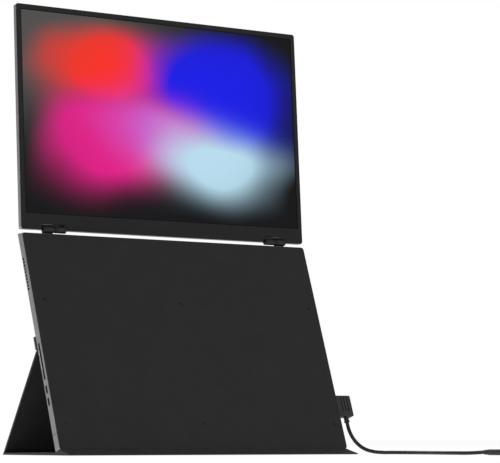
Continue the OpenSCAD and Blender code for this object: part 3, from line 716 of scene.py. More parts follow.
@dataclass
class Studio:
    """Camera, floor, lamps and world."""

    eye: Triple = (-1.39136, -2.15346, 0.01741)  # where the camera stands
    yaw: float = 34.4487  # its turn to the right of +Y, in degrees
    pitch: float = 4.9199  # its tilt up, in degrees
    focal_px: float = 2400.36  # its focal length in pixels of a picture that is image_w pixels wide
    image_w: float = 500  # width of that picture
    sensor_w: float = 36.0  # width of its sensor in millimetres
    floor_size: float = 30.0  # side of the floor
    floor_z: float = -0.0002  # its height, just under the object
    glow: Pair = (1.06, 0.88)  # strength of the floor's own light, and its share where it is seen
    world_light: float = 0.30  # strength of the soft light from all round
    aim: Triple = (0, 0, 0.22)  # the point that the lamps light

    # name, place, size in metres, watts
    LAMPS = (
        ("key", (-1.7, -0.7, 1.2), 1.4, 13.0), ("low_left", (-1.0, -0.15, 0.10), 0.5, 3.2),
        ("fill", (1.3, -1.9, 1.3), 1.6, 9.0), ("back", (0.5, 2.0, 1.7), 1.4, 22.0),
    )

    def camera(self) -> None:
        """Creates the camera and makes it the scene's."""
        data = bpy.data.cameras.new("camera")
        data.sensor_width = self.sensor_w
        data.lens = self.focal_px * self.sensor_w / self.image_w
        data.clip_end = 100.0
        obj = link("camera", data)
        obj.location = self.eye
        obj.rotation_euler = (math.radians(90 + self.pitch), 0, math.radians(-self.yaw))
        bpy.context.scene.camera = obj

    @staticmethod
    def seen(graph: Graph) -> Sock:
        """1 where a ray shows the surface itself, in view, in gloss or through glass."""
        path = graph.tree.nodes.new("ShaderNodeLightPath")
        rays = ("Is Camera Ray", "Is Glossy Ray", "Is Transmission Ray")
        camera, glossy, through = (Sock(graph, path.outputs[r]) for r in rays)
        return (camera + glossy + through).clip()

    def floor(self) -> None:
        """A plain pale floor that keeps the object's shadow."""
        floor = start("floor", bpy.ops.mesh.primitive_plane_add, size=self.floor_size,
                      location=(0, 0, self.floor_z))
        graph = Graph("floor_paint")
        graph.set(Base_Color=(0.9, 0.9, 0.9), Roughness=0.9)
        strength, share = self.glow
        glow = graph.add("ShaderNodeEmission", inputs={"Color": (1, 1, 1), "Strength": strength})
        blend = graph.tree.nodes.new("ShaderNodeMixShader")
        graph.put(blend.inputs[0], self.seen(graph) * share)
        graph.tree.links.new(graph.surface.outputs[0], blend.inputs[1])
        graph.tree.links.new(glow.socket, blend.inputs[2])
        graph.tree.links.new(blend.outputs[0], graph.output.inputs[0])
        floor.data.materials.append(graph.material)

    def lamp(self, name: str, place: Point, size: float, watts: float) -> None:
        """A soft square lamp that points at the object's middle.

        Args:
            name: the lamp's name.
            place: where it stands.
            size: its side.
            watts: its power.
        """
        data = bpy.data.lights.new(name, "AREA")
        data.shape = "SQUARE"
        data.size = size
        data.energy = watts
        obj = link(name, data)
        obj.location = place
        run = Vector(self.aim) - Vector(place)
        obj.rotation_euler = run.to_track_quat("-Z", "Y").to_euler()

    def world(self) -> None:
        """White where it is seen, soft grey light elsewhere."""
        world = bpy.data.worlds.new("studio")
        world.use_nodes = True
        tree = world.node_tree
        tree.nodes.clear()
        path, grey, white, rays, blend, out = (
            tree.nodes.new(f"ShaderNode{kind}")
            for kind in "LightPath Background Background Math MixShader OutputWorld".split()
        )
        for node, strength in ((grey, self.world_light), (white, 1.0)):
            node.inputs["Color"].default_value = (1, 1, 1, 1)
            node.inputs["Strength"].default_value = strength
        rays.operation = "MAXIMUM"
        for source, target in (
            (path.outputs["Is Camera Ray"], rays.inputs[0]),
            (path.outputs["Is Transmission Ray"], rays.inputs[1]),
            (rays.outputs[0], blend.inputs[0]), (grey.outputs[0], blend.inputs[1]),
            (white.outputs[0], blend.inputs[2]), (blend.outputs[0], out.inputs[0]),
        ):
            tree.links.new(source, target)
        bpy.context.scene.world = world

    def build(self) -> None:
        """Sets up the whole studio."""
        self.camera()
        self.world()
        self.floor()
        for lamp in self.LAMPS:
            self.lamp(*lamp)
        bpy.context.scene.view_settings.view_transform = "Standard"


# ---- finishes of this object ---------------------------------------------------------
ALUMINIUM = Finish(
    "blasted_aluminium", "aluminium", (0.33, 0.33, 0.335), 0.46, 0.75, 0.02,
    Grain.BLASTED, 5200.0, 0.000012, smear=0.04,
)
KEY_METAL = Finish(
    "turned_key_metal", "aluminium", (0.42, 0.42, 0.425), 0.34, 0.8, 0.05,
    Grain.BLASTED, 5200.0, 0.000008,
)
BEZEL = Finish(
    "bezel_plastic", "bezel", (0.0105, 0.0105, 0.0108), 0.46, 0.0, 0.10,
    Grain.MOULDED, 3200.0, 0.000012, specular=0.2,
)
FRONT_COVER = Finish(
    "front_cover_plastic", "front_cover", (0.0125, 0.0125, 0.0130), 0.56, 0.0, 0.14,
    Grain.MOULDED, 2200.0, 0.000025,
)
# black rubber of the screen gasket, also the black of the pieces that paint shade into grooves,
# holes, notches and the seam
GASKET_AND_SHADE = Finish(
    "black_gasket_and_painted_shade", "bezel", (0.0040, 0.0040, 0.0042), 0.66, 0.0, 0.10,
    Grain.MOULDED, 2800.0, 0.00001, specular=0.1,
)
PORT_BLACK = Finish(
    "port_black_steel", "steel", (0.006, 0.006, 0.0065), 0.50, 0.0, 0.12,
    Grain.BLASTED, 2600.0, 0.000006, specular=0.15,
)
GUIDE = Finish(
    "light_guide_acrylic", "light_guide", (0.74, 0.76, 0.78), 0.16, 0.0, 0.03,
    Grain.MOULDED, 900.0, 0.000004,
)
STEEL = Finish(
    "bright_steel", "steel", (0.46, 0.46, 0.47), 0.30, 1.0, 0.08,
    Grain.ROLLED, 2200.0, 0.000006,
)
BOARD = Finish(
    "circuit_board_mask", "circuit_board", (0.010, 0.055, 0.030), 0.38, 0.0, 0.25,
    Grain.MOULDED, 700.0, 0.00003, coat=0.3,
)
LED = Finish(
    "led_strip_phosphor", "led_strip", (0.72, 0.66, 0.38), 0.45, 0.0, 0.10,
    Grain.MOULDED, 1200.0, 0.00002,
)
FOAM = Finish(
    "open_foam", "foam", (0.060, 0.060, 0.062), 0.88, 0.0, 0.25,
    Grain.LEATHER, 1100.0, 0.00012, sheen=0.2,
)
HINGE = Finish(
    "black_hinge_steel", "hinge_black", (0.028, 0.028, 0.030), 0.36, 0.7, 0.12,
    Grain.BLASTED, 3000.0, 0.00001,
)
LEATHER = Finish(
    "cover_leather", "cover_leather", (0.0090, 0.0090, 0.0093), 0.54, 0.0, 0.16,
    Grain.LEATHER, 1500.0, 0.00006, specular=0.2, sheen=0.05,
)
LINING = Finish(
    "cover_lining", "lining", (0.0270, 0.0270, 0.0280), 0.86, 0.0, 0.16,
    Grain.FIBRE, 3600.0, 0.00004, sheen=0.12,
)
GREY_BOARD = Finish(
    "grey_board", "stiff_board", (0.22, 0.20, 0.18), 0.84, 0.0, 0.15,
    Grain.FIBRE, 1800.0, 0.00004,
)
MAGNET = Finish(
    "plated_magnet", "magnet", (0.42, 0.42, 0.43), 0.26, 1.0, 0.06,
    Grain.ROLLED, 1800.0, 0.000005,
)
SPEAKER = Finish(
    "speaker_box_plastic", "speaker", (0.013, 0.013, 0.014), 0.58, 0.0, 0.12,
    Grain.MOULDED, 1800.0, 0.00003,
)
FLEX = Finish(
    "flat_cable_film", "flat_cable", (0.20, 0.085, 0.022), 0.34, 0.1, 0.18,
    Grain.ROLLED, 900.0, 0.00002, coat=0.4,
)
PLUG = Finish(
    "plug_rubber", "plug_black", (0.0360, 0.0360, 0.0370), 0.52, 0.0, 0.14,
    Grain.MOULDED, 2600.0, 0.00003,
)
JACKET = Finish(
    "lead_jacket", "lead", (0.0120, 0.0120, 0.0125), 0.40, 0.0, 0.14,
    Grain.MOULDED, 3000.0, 0.00002,
)


# ---- sub-assemblies ------------------------------------------------------------------
@dataclass
class Assembly:
    """A sub-assembly: dresses its CAD nodes and attaches its new pieces to the bodies they ride on.
    """

    places: Places  # the local frames

    BODY: ClassVar[str] = "base"  # the body that most of its pieces ride on
    # finish, rounding of the sharp edges, CAD nodes
    NODES: ClassVar[tuple] = ()

    @property
    def home(self) -> Matrix:
        """The local frame that most of its pieces are made in."""
        return self.places.housing

    def build(self) -> None:
        """Dresses its CAD nodes and adds its own pieces."""
        for finish, rounding, names in self.NODES:
            self.dress(finish, rounding, *names.split())
        self.model()

    def model(self) -> None:
        """Room for the pieces that an assembly adds."""

    @staticmethod
    def dress(finish: Finish, rounding: float, *names: str) -> None:
        """Dresses CAD nodes.

        Args:
            finish: what they are made of.
            rounding: width of the bevel on their sharp edges, 0 for none.
            *names: the nodes.
        """
        for name in names:
            obj = frame["nodes"][name]
            obj.data.materials.clear()
            obj.data.materials.append(finish.build())
            if rounding:
                obj.modifiers.new("weld", "WELD").merge_threshold = 1e-6
                edges = obj.modifiers.new("bevel", "BEVEL")
                edges.width = rounding * MM
                edges.segments = 2
                edges.limit_method = "ANGLE"
                edges.angle_limit = math.radians(40)
                edges.use_clamp_overlap = edges.harden_normals = True
            LOG.info("dressed %s in %s", name, finish.name)

    def piece(self, obj: Obj, body: str, finish: Finish, *stands_for: str) -> Obj:
        """Finishes a new piece.

        Args:
            obj: the piece, in place.
            body: the CAD body it rides on.
            finish: what it is made of.
            *stands_for: the CAD nodes it replaces.

        Returns:
            The piece.
        """
        obj.data.materials.clear()
        obj.data.materials.append(finish.build())
        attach(obj, body)
        if stands_for:
            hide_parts(*stands_for)
        LOG.info("made %s on %s", obj.name, body)
        return obj

    def put(self, obj: Obj, finish: Finish, *stands_for: str, body: str = "") -> Obj:
        """Smooths obj, made in the local frame, and stands it in its place.

        Args:
            obj: the piece.
            finish: what it is made of.
            *stands_for: the CAD nodes it replaces.
            body: the CAD body it rides on, if it isn't the usual one.

        Returns:
            The piece.
        """
        smooth(obj)
        settle(obj, self.home)
        return self.piece(obj, body or self.BODY, finish, *stands_for)

    def pair(self, right: Obj, name: str, finish: Finish) -> None:
        """Puts the right piece and its mirror image, called name, in place."""
        smooth(right)
        left = copy(right, name, MIRROR_X)
        for obj in (right, left):
            self.put(obj, finish)


# ---- lead ----------------------------------------------------------------------------
@dataclass
class Lead(Assembly):
    """The right-angle plug, its lead and the straight plug at the far end."""

    diameter: float = 4  # diameter of the lead
    length: float = 0.24  # length of its cord, in metres
    sleeve_x: float = 191.8  # where the lead leaves the elbow, across the housing
    port_v: float = 5.8  # middle of the port behind the housing's front face
    exit_u: float = 32.5  # lower end of the sleeve along the housing
    straight: float = 6  # how far the lead runs straight out of the sleeve
    plug_x: Pair = (180.3, 200.5)  # inner and outer side of the elbow, across the housing
    plug_u: Pair = (38.5, 62.5)  # lower and upper end of the elbow, along the housing
    plug_t: float = 7  # thickness of the elbow
    groove: Triple = (0.5, 1.2, 4)  # depth, width and pitch of the grip grooves
    groove_u: Pair = (44.5, 60.9)  # lower and upper end of the grooves
    groove_x: float = 194.8  # start of the outermost groove
    shade_inlay: Pair = (0.22, 0.1)  # how far a black strip of painted shade stands up in its grip groove, and its side clearance
    far_size: Triple = (11, 21, 6)  # width, length and thickness of the far plug
    ribs: int = 5  # how many ribs the far relief has
    rib_pitch: float = 2  # pitch of the ribs
    rib_r: Pair = (2.95, 0.12)  # radius of the first rib, and how much each one is smaller
    rib_gap: Pair = (0.8, 0.35)  # width and depth of the grooves between the ribs
    neck: Pair = (3, 1.2)  # radius and length of the relief before its ribs
    tip: Pair = (11.2, 2.25)  # length of the relief, and its radius at the end

    NODES = ((STEEL, 0.1, "elbow_tongue far_tongue"), (PLUG, 0.15, "cable_sleeve"))
    ROUTE = (
        (192.6, -38.3, 23.4), (193.9, -42.8, 16.6), (195.8, -48.8, 10.6), (198.4, -56.8, 5.8),
        (201.8, -67, 3), (205.8, -79, 2), (209.5, -92, 2), (212.2, -106, 2), (213.5, -120, 2),
        (213.3, -134, 2), (212, -148, 2), (210.2, -162, 2), (208.5, -176, 2), (207.6, -190, 2),
        (207.6, -204, 2), (208.6, -218, 2), (210.4, -231, 2.4), (212, -243, 3), (212, -254, 3),
    )

    def route(self) -> list[Vector]:
        """The lead's points, from the sleeve to the far plug."""
        first = [point_in(self.home, self.sleeve_x, self.port_v, self.exit_u - drop)
                 for drop in (0, self.straight)]
        return first + [Vector(p) for p in self.ROUTE]

    def cable(self, others: Sequence[Obj]) -> None:
        """The lead itself, one smooth curve through its points.

        Args:
            others: the pieces that go with it; not used.
        """
        points = self.route()
        data = bpy.data.curves.new("lead_cable", "CURVE")
        data.dimensions = "3D"
        data.bevel_depth = self.diameter / 2 * MM
        data.bevel_resolution = 4
        data.resolution_u = 6
        data.use_fill_caps = True
        spline = data.splines.new("BEZIER")
        spline.bezier_points.add(len(points) - 1)
        for knot, point in zip(spline.bezier_points, points):
            knot.co = point * MM
            knot.handle_left_type = knot.handle_right_type = "AUTO"
        obj = self.piece(link("lead_cable", data), "base", JACKET, "cable")

    def elbow(self) -> None:
        """The right-angle plug, with grip grooves in its front and rear faces."""
        deep, wide, _ = self.groove
        faces = around(self.port_v, self.plug_t / 2)
        body = block("elbow_body", self.plug_x, faces, self.plug_u)
        bevel(body, 1.6, lying(0, 1, 0), 5)
        cut(body, [block("grip_cut", (x, x + wide), around(v, deep), self.groove_u)
                   for x in self.grooves() for v in faces])
        bevel(body, 0.3, sharper(), 3)
        self.put(body, PLUG, "elbow_plug")

    def grip(self) -> None:
        """Black strips on the floors of the grip grooves: painted shade that darkens the grooves.
        """
        (deep, wide, _), (low, high), (proud, gap) = self.groove, self.groove_u, self.shade_inlay
        shade_inlays = []
        for x in self.grooves():
            for side in (-1, 1):
                floor = self.port_v + side * (self.plug_t / 2 - deep)
                shade_inlay = block("shade_inlay", (x + gap, x + wide - gap),
                              (floor + side * proud, floor - side * 0.1), (low + 0.2, high - 0.2))
                bevel(shade_inlay, 0.08, sharper(), 2)
                shade_inlays.append(shade_inlay)
        self.put(join(shade_inlays, "groove_shade_inlays"), GASKET_AND_SHADE)

    def grooves(self) -> list[float]:
        """Where the grip grooves start, across the plug."""
        return [self.groove_x - step * self.groove[2] for step in range(3)]

    def far_plug(self) -> list[Obj]:
        """The straight plug and the tapered relief in front of it.

        Returns:
            The pieces that go with the lead.
        """
        end = self.route()[-1]
        wide, long, thick = self.far_size
        body = block("far_plug_body", around(end.x, wide / 2), (end.y - long, end.y),
                     around(end.z, thick / 2))
        bevel(body, 2.2, lying(0, 1, 0), 6)
        sink(body, facing(0, -1, 0), 0.5, -0.4)
        sink(body, facing(0, 1, 0), 1.2, -0.8)
        smooth(body, 30)
        self.piece(body, "base", PLUG, "far_plug")
        (first, less), (gap, deep) = self.rib_r, self.rib_gap
        rings = [(0, self.neck[0])]
        for turn in range(self.ribs):
            base, radius = self.neck[1] + self.rib_pitch * turn, first - less * turn
            floor = radius - deep
            rings += [(base, radius), (base, floor), (base + gap, floor),
                      (base + gap, radius - less / 2)]
        relief = turned("far_relief", rings + [self.tip])
        settle(relief, shift(*end) @ Matrix.Rotation(-QUARTER, 4, "X"))
        self.piece(relief, "base", PLUG)
        return [body, relief]

    def model(self) -> None:
        """Makes the lead and all that is on it."""
        self.elbow()
        self.grip()
        self.cable([*self.far_plug(), frame["nodes"]["far_tongue"]])


# ---- display -------------------------------------------------------------------------
@dataclass
class DisplayUnit(Assembly):
    """The upper display: shell, bezel, lit panel and what is behind it."""

    picture_half: Pair = (174.6, 109.2)  # half the width and height of the bezel's window
    picture_mid: float = 125.8  # the window's middle above the hinge axis
    gasket_y: Pair = (0.47, 0.84)  # front and back of the gasket in the window
    gasket_w: float = 0.75  # width of the gasket
    corner: float = 0.75  # rounding of the window's corners
    shaft_end: float = 154.2  # outer end of a hinge shaft
    shade_liner_x: Pair = (141.3, 154.7)  # inner and outer end of the black plate of painted shade in a notch
    shade_liner_y: Pair = (3.68, 3.89)  # front and back of that plate
    shade_liner_z: Pair = (2.0, 5.3)  # lower and upper end of that plate

    BODY = "display"
    NODES = (
        (ALUMINIUM, 0.3, "display_back_shell"), (BEZEL, 0.15, "display_bezel"),
        (GUIDE, 0, "light_guide"), (STEEL, 0, "panel_chassis"), (LED, 0, "led_strip"),
        (BOARD, 0, "timing_board"), (FOAM, 0, "foam_pads"), (STEEL, 0.1, "display_screws"),
        (HINGE, 0.2, "display_bracket_left display_bracket_right"),
        (HINGE, 0.2, "hinge_shaft_left hinge_shaft_right"),
    )
    # height and radius of a cap, from the shaft's end outwards
    CAP = ((0, 2.5), (0.06, 2.6), (0.22, 2.55), (0.34, 2.2), (0.36, 1.1), (0.3, 0.9))

    @property
    def home(self) -> Matrix:
        """The display's local frame, with its origin on the hinge axis."""
        return self.places.display

    def picture(self) -> PictureFinish:
        """The lit screen's finish, in the display's own frame.

        Returns:
            The finish.
        """
        up = (self.home.to_3x3() @ Vector((0, 0, 1))).normalized()
        low = point_in(self.home, 0, 0, self.picture_mid).dot(up) * MM
        return PictureFinish(
            "lit_screen", "screen", (0.003, 0.003, 0.0035), 0.34, 0.0, 0.0,
            Grain.MOULDED, 4000.0, 0.000002, specular=0.04, up=tuple(up), low=low,
            half=tuple(size * MM for size in self.picture_half),
        )

    def slab(self, name: str, margin: float, front: float, back: float) -> Obj:
        """A plate with round corners, smaller than the window by margin all round."""
        (across, up), mid = self.picture_half, self.picture_mid
        plate = block(name, around(0, across - margin), (front, back), around(mid, up - margin))
        bevel(plate, self.corner, lying(0, 1, 0), 4)
        return plate

    def screen_gasket(self) -> None:
        """The black frame that seals the panel inside the bezel's window."""
        front, back = self.gasket_y
        gasket = self.slab("screen_gasket", 0.02, front, back)
        cut(gasket, [self.slab("opening", self.gasket_w, front - 1, back + 1)])
        bevel(gasket, 0.08, sharper(), 2)
        self.put(gasket, GASKET_AND_SHADE)

    def hinge_caps(self) -> None:
        """The domed black caps on the outer ends of the hinge shafts."""
        cap = turned("hinge_cap_right", self.CAP, 36)
        settle(cap, shift(self.shaft_end, 0, 0) @ Matrix.Rotation(QUARTER, 4, "Y"))
        self.pair(cap, "hinge_cap_left", HINGE)

    def notch_shade_liners(self) -> None:
        """The black plate behind each outer knuckle, in its notch of the chin: painted shade in the
        notch.
        """
        shade_liner = block("notch_shade_liner_right", self.shade_liner_x, self.shade_liner_y, self.shade_liner_z)
        bevel(shade_liner, 0.6, lying(0, 1, 0), 3)
        sink(shade_liner, facing(0, -1, 0), 0.4, 0.06)
        self.pair(shade_liner, "notch_shade_liner_left", GASKET_AND_SHADE)

    def model(self) -> None:
        """Lights the panel and adds the display's pieces."""
        self.dress(self.picture(), 0, "lcd_panel")
        self.screen_gasket()
        self.hinge_caps()
        self.notch_shade_liners()


# ---- housing -------------------------------------------------------------------------
@dataclass
class Housing(Assembly):
    """The lower housing with its ports, keys, speakers and boards."""

    side: float = 180  # half the housing's width
    wall: float = 1.4  # wall of its shell
    depth: float = 10.8  # its thickness from front to back
    port_v: float = 5.8  # middle of the ports behind the front face
    port_size: Pair = (9, 3.2)  # length and width of a port
    groove: Triple = (40, 2.4, 1.2)  # length, width and depth of the groove beside the keys
    groove_u: float = 97  # middle of the groove along the housing
    lip: float = 0.2  # how far the black lip of the painted groove shade stands over the groove's edge
    key_v: Pair = (7, 9)  # lower and upper side of the keys behind the front face
    key_x: Pair = (-180.2, -177.1)  # outer face and flange of the keys, across the housing
    # how far a key's flange stands out to its ends and its front, and its thickness
    flange: Triple = (0.3, 0.6, 0.8)
    mark: Pair = (0.5, 0.3)  # width and depth of the rocker's mark
    seam: Pair = (18, 18.5)  # lower and upper side of the seam
    # middle of the lowest hole along the housing, and behind the front face
    speaker: Pair = (177.7, 6.6)
    speaker_pitch: float = 3.75  # pitch of the holes
    speaker_count: int = 10  # how many holes a row has
    speaker_r: float = 1.15  # radius of the holes
    # how far the mesh goes past the row and past its middle, and its thickness
    mesh: Triple = (2, 1.3, 0.13)
    screw_u: Pair = (27.5, 163.7)  # the two rows of cover screws along the housing
    screw_x: Triple = (-168, 0, 168)  # the columns of cover screws
    screw_sunk: float = 0.3  # how far their heads are sunk
    cross: Pair = (1, 0.22)  # half the length and width of their cross recess

    NODES = (
        (ALUMINIUM, 0.25, "base_rear_shell base_end_cap"), (FRONT_COVER, 0.25, "base_front_cover"),
        (BOARD, 0, "driver_board right_port_board button_board"), (FLEX, 0, "flat_cable"),
        (PORT_BLACK, 0.08, "usb_socket_upper_left usb_socket_lower_left usb_socket_right"),
        (SPEAKER, 0.2, "speaker_left speaker_right"), (STEEL, 0, "strike_plate"),
        (HINGE, 0.2, "base_bracket_left base_bracket_right"), (STEEL, 0.1, "bracket_screws"),
        (HINGE, 0.05, "friction_washers"),
    )
    # name, side and height of each port
    PORTS = (("upper_left", -1, 66.5), ("lower_left", -1, 53), ("right", 1, 53))
    # name, lower end and length of each key
    KEYS = (("power", 104, 6.8), ("rocker", 89.3, 13.5))
    # height and radius of a screw, from the head's face inwards
    SCREW = ((0, 1.55), (0.18, 1.88), (0.5, 1.88), (0.51, 0.84), (8.6, 0.84))

    def port_rims(self) -> None:
        """A thin edge just inside each port."""
        length, width = self.port_size
        for name, side, u in self.PORTS:
            def bar(label: str, low: float, high: float, gap: float) -> Obj:
                """A stadium bar from low to high out of the face, smaller than the port by gap."""
                x = (side * (self.side + low), side * (self.side + high))
                return stadium(label, x, (self.port_v, u), length - gap, width - gap)

            rim = bar(f"port_rim_{name}", -0.9, -0.05, 0.02)
            cut(rim, [bar("throat", -2, 1, 0.5)])
            bevel(rim, 0.08, sharper(), 2)
            self.put(rim, PORT_BLACK)

    def groove_shade_liner(self) -> None:
        """The black tray that lines the groove beside the keys, with a lip round it: painted shade
        in the groove.
        """
        length, width, deep = self.groove
        centre = (self.port_v, self.groove_u)
        x = (-self.side + 0.1, -self.side + deep - 0.02)
        tray = stadium("groove_shade_liner", x, centre, length - 0.06, width - 0.06)
        hollow = stadium("hollow", (x[0] - 1, x[1] - 0.25), centre,
                         length - 0.7, width - 0.7)
        lip = stadium("lip", (-self.side - 0.05, x[0] + 0.02),
                      (self.port_v - self.lip, self.groove_u), length + 2 * self.lip,
                      width + 2 * self.lip)
        modify(tray, "BOOLEAN", operation="UNION", solver="EXACT", object=lip)
        bpy.data.objects.remove(lip)
        cut(tray, [hollow])
        bevel(tray, 0.04, sharper(), 2)
        self.put(tray, GASKET_AND_SHADE)

    def key_caps(self) -> None:
        """The two keys with rounded faces, a mark and their inner flanges."""
        (x0, x1), (v0, v1) = self.key_x, self.key_v
        out, front, thick = self.flange
        half, deep = self.mark[0] / 2, self.mark[1]
        outer = facing(-1, 0, 0)
        for name, u0, length in self.KEYS:
            u1, mid = u0 + length, u0 + length / 2
            cap = block(f"{name}_cap", self.key_x, self.key_v, (u0, u1))
            bevel(cap, 0.55, lying(1, 0, 0), 4)
            bevel(cap, 0.22, lambda e: any(outer(f) for f in e.link_faces), 3)
            if name == "rocker":
                cut(cap, [block("mark", (x0 - 1, x0 + deep), (v0 - 1, v1 + 1), around(mid, half))])
            flange = block("flange", (x1 - 0.01, x1 + thick), (v0 - front, v1),
                           (u0 - out, u1 + out))
            bevel(flange, 0.15, lying(1, 0, 0), 2)
            self.put(join([cap, flange], f"{name}_cap"), KEY_METAL, f"{name}_key",
                     body=f"{name}_key")

    def seam_shade_strip(self) -> None:
        """The black strip in the seam above the end cap: painted shade in the gap."""
        inset, (low, high) = self.side - 0.25, self.seam
        strip = block("seam_shade_strip", around(0, inset), (0.82, self.depth - 0.25),
                      (low + 0.01, high - 0.01))
        inner = self.side - self.wall
        cut(strip, [block("inner", around(0, inner), (0, self.depth - self.wall), (0, 30))])
        bevel(strip, 0.08, lying(0, 0, 1), 2)
        self.put(strip, GASKET_AND_SHADE)

    def speaker_shade_inserts(self) -> None:
        """A black mesh strip behind each row of holes, and a short black tube in each hole: painted
        shade inside the holes.
        """
        inner, (u, v) = self.side - self.wall, self.speaker
        radius, rim = self.speaker_r - 0.02, self.speaker_r + 0.3
        tube = turned("tube", [
            (0, radius), (self.wall, radius), (self.wall, rim),
            (self.wall + 0.06, rim - 0.05),
        ], 24)
        hole = self.speaker_r * 0.72
        cut(tube, [turned("bore", [(-1, hole), (3, hole)], 24)])
        bevel(tube, 0.05, sharper(), 2)
        settle(tube, shift(inner, v, u) @ Matrix.Rotation(QUARTER, 4, "Y"))
        row(tube, (0, 0, self.speaker_pitch), self.speaker_count)
        run = (self.speaker_count - 1) * self.speaker_pitch
        end, half, thick = self.mesh
        mesh = block("mesh", (inner - thick, inner), around(v, half), (u - end, u + run + end))
        bevel(mesh, 0.8, lying(1, 0, 0), 3)
        self.pair(join([tube, mesh], "speaker_shade_insert_right"), "speaker_shade_insert_left", GASKET_AND_SHADE)

    def screw_heads(self) -> None:
        """The cover's screws: countersunk heads with a cross recess, on their shanks."""
        pattern = turned("cover_screw", self.SCREW, 32)
        cut(pattern, [block("slot", around(0, a), around(0, b), (-1, 0.35))
                      for a, b in (self.cross, self.cross[::-1])])
        smooth(pattern)
        stand = Matrix.Rotation(-QUARTER, 4, "X")
        heads = [copy(pattern, "head", shift(x, self.screw_sunk, u) @ stand)
                 for x in self.screw_x for u in self.screw_u]
        bpy.data.objects.remove(pattern)
        self.put(join(heads, "cover_screw_set"), HINGE, "cover_screws")

    def model(self) -> None:
        """Adds the housing's pieces."""
        self.port_rims()
        self.groove_shade_liner()
        self.key_caps()
        self.seam_shade_strip()
        self.speaker_shade_inserts()
        self.screw_heads()


# ---- cover stand ---------------------------------------------------------------------
@dataclass
class CoverStand(Assembly):
    """The folding cover: floor flap, leaf, magnet strip and front lip with soft folds."""

    half: float = 180  # half the stand's width
    fold_t: float = 2.4  # thickness of a panel
    skin_t: float = 0.6  # thickness of the leather under the board
    hem: float = 3  # width of the turned edge round the lining
    flap_len: float = 109.5  # length of the floor flap
    # how far the flap's and the leaf's inner faces end short of the rear fold
    flap_mitre: float = 4.715
    strip_mitre: float = 1.495  # how far the leaf's outer face ends short of the strip
    strip_u: float = 110.5  # lower edge of the strip on the housing
    strip_t: float = 3.6  # thickness of the strip
    strip_h: float = 16  # height of the strip
    strip_foot: float = 2.2  # how much higher the strip's outer face starts
    back_v: float = 11.1  # inner face of the strip behind the housing's front face
    pocket: Triple = (58.8, 22.15, 2)  # pitch, half the length and depth of the magnets' pockets
    # how far the pockets end short of the strip's lower and upper edge
    pocket_u: Pair = (3.85, 2.85)
    lip_len: float = 19  # length of the front lip in front of the housing
    soft: float = 0.55  # rounding of the leather's edges
    crease: float = 0.8  # the angle from which its edges are rounded, in radians
    smooth_to: float = 40  # the angle up to which the leather is shaded smooth, in degrees

    NODES = (
        (LINING, 0.12, "flap_lining leaf_lining"), (GREY_BOARD, 0, "flap_board leaf_board"),
        (MAGNET, 0.2, "strip_magnets"),
    )
    # points of the soft folds as (Y, Z) from their joints, or along a panel from its edge
    FOOT = ((-0.28, 0.13), (0.3, 0.12), (0.9, 0.11), (1.6, 0.11), (3.4, 0.11))
    REAR = ((-5, 0.34), (-3, 0.34), (-1.6, 0.34), (-0.9, 0.34), (-0.42, 0.44))
    REAR_UP = (0.8, 1.6, 3, 5)
    TOP = (0.9, 1.7, 3, 5)

    def panel(self, name: str, outline: Sequence[Pair], *tray: Pair) -> Obj:
        """A leather panel with soft edges and a tray for its board.

        Args:
            name: the piece's name.
            outline: its (Y, Z) outline.
            *tray: limits of the tray, which takes the board and the lining.

        Returns:
            The panel, in its own frame.
        """
        def on_wall(co: Vector) -> bool:
            """Whether co is on a side wall of the tray."""
            off = [min(abs(c / MM - a), abs(c / MM - b)) for c, (a, b) in zip(co, tray)]
            return sum(gap < 0.001 for gap in off) == 1

        panel = prism(name, outline, self.half)
        bevel(panel, self.soft, sharper(self.crease), 4)
        cut(panel, [block("tray", *tray)])
        sharp = sharper()
        bevel(panel, 0.12, lambda e: all(on_wall(v.co) for v in e.verts) and sharp(e), 2)
        smooth(panel, self.smooth_to)
        return panel

    def flap(self) -> None:
        """The floor flap, hollowed for its board and lining."""
        t, end, x = self.fold_t, self.flap_len, self.half - self.hem
        inner = end - self.flap_mitre
        outline = [(0.3, 0), (end, 0), (inner, t), (0.3, t)]
        flap = self.panel("flap_cover", outline, (-x, x), (self.hem, inner - self.hem),
                          (self.skin_t, t + 1))
        settle(flap, self.places.flap)
        self.piece(flap, "flap", LEATHER, "floor_flap")

    def leaf(self) -> None:
        """The leaf that stands on the flap's rear edge and meets the strip."""
        t, run, x = self.fold_t, self.leaf_len(), self.half - self.hem
        outline = [(0, 0.2), (0, run - self.strip_mitre + 0.2), (-t, run - 0.02),
                   (-t, self.flap_mitre + 0.2)]
        leaf = self.panel("leaf_cover", outline, (-x, x), (-t - 1, -self.skin_t),
                          (self.flap_mitre + self.hem, run - self.strip_mitre - self.hem))
        settle(leaf, self.leaf_place())
        self.piece(leaf, "leaf", LEATHER, "stand_leaf")

    def leaf_len(self) -> float:
        """Length of the leaf's outer face."""
        return math.sqrt(self.places.leaf_run.length_squared - self.fold_t ** 2)

    def leaf_place(self) -> Matrix:
        """The leaf's frame, with Z up its outer face."""
        run = self.places.leaf_run
        lean = math.atan2(-run.y, run.z) - math.atan2(self.fold_t, self.leaf_len())
        return self.places.rear @ Matrix.Rotation(lean, 4, "X")

    def strip(self) -> None:
        """The magnetic strip with pockets for its magnets in the inner face."""
        v, u, out = self.back_v, self.strip_u, self.back_v + self.strip_t
        top = u + self.strip_h
        strip = prism("strip_cover", [(v, u + 0.1), (out, u + self.strip_foot), (out, top),
                                      (v, top)], self.half)
        sharp = sharper(self.crease)
        bevel(strip, 0.8, lambda e: sharp(e) and e.verts[0].co.y > (v + 1) * MM, 4)
        pitch, reach, deep = self.pocket
        (low, high), middles = self.pocket_u, [(k - 2.5) * pitch for k in range(6)]
        cut(strip, [block("pocket", around(x, reach), (v - 1, v + deep), (u + low, top - high))
                    for x in middles])
        smooth(strip, self.smooth_to)
        settle(strip, self.home)
        self.piece(strip, "strip", LEATHER, "stand_strip")

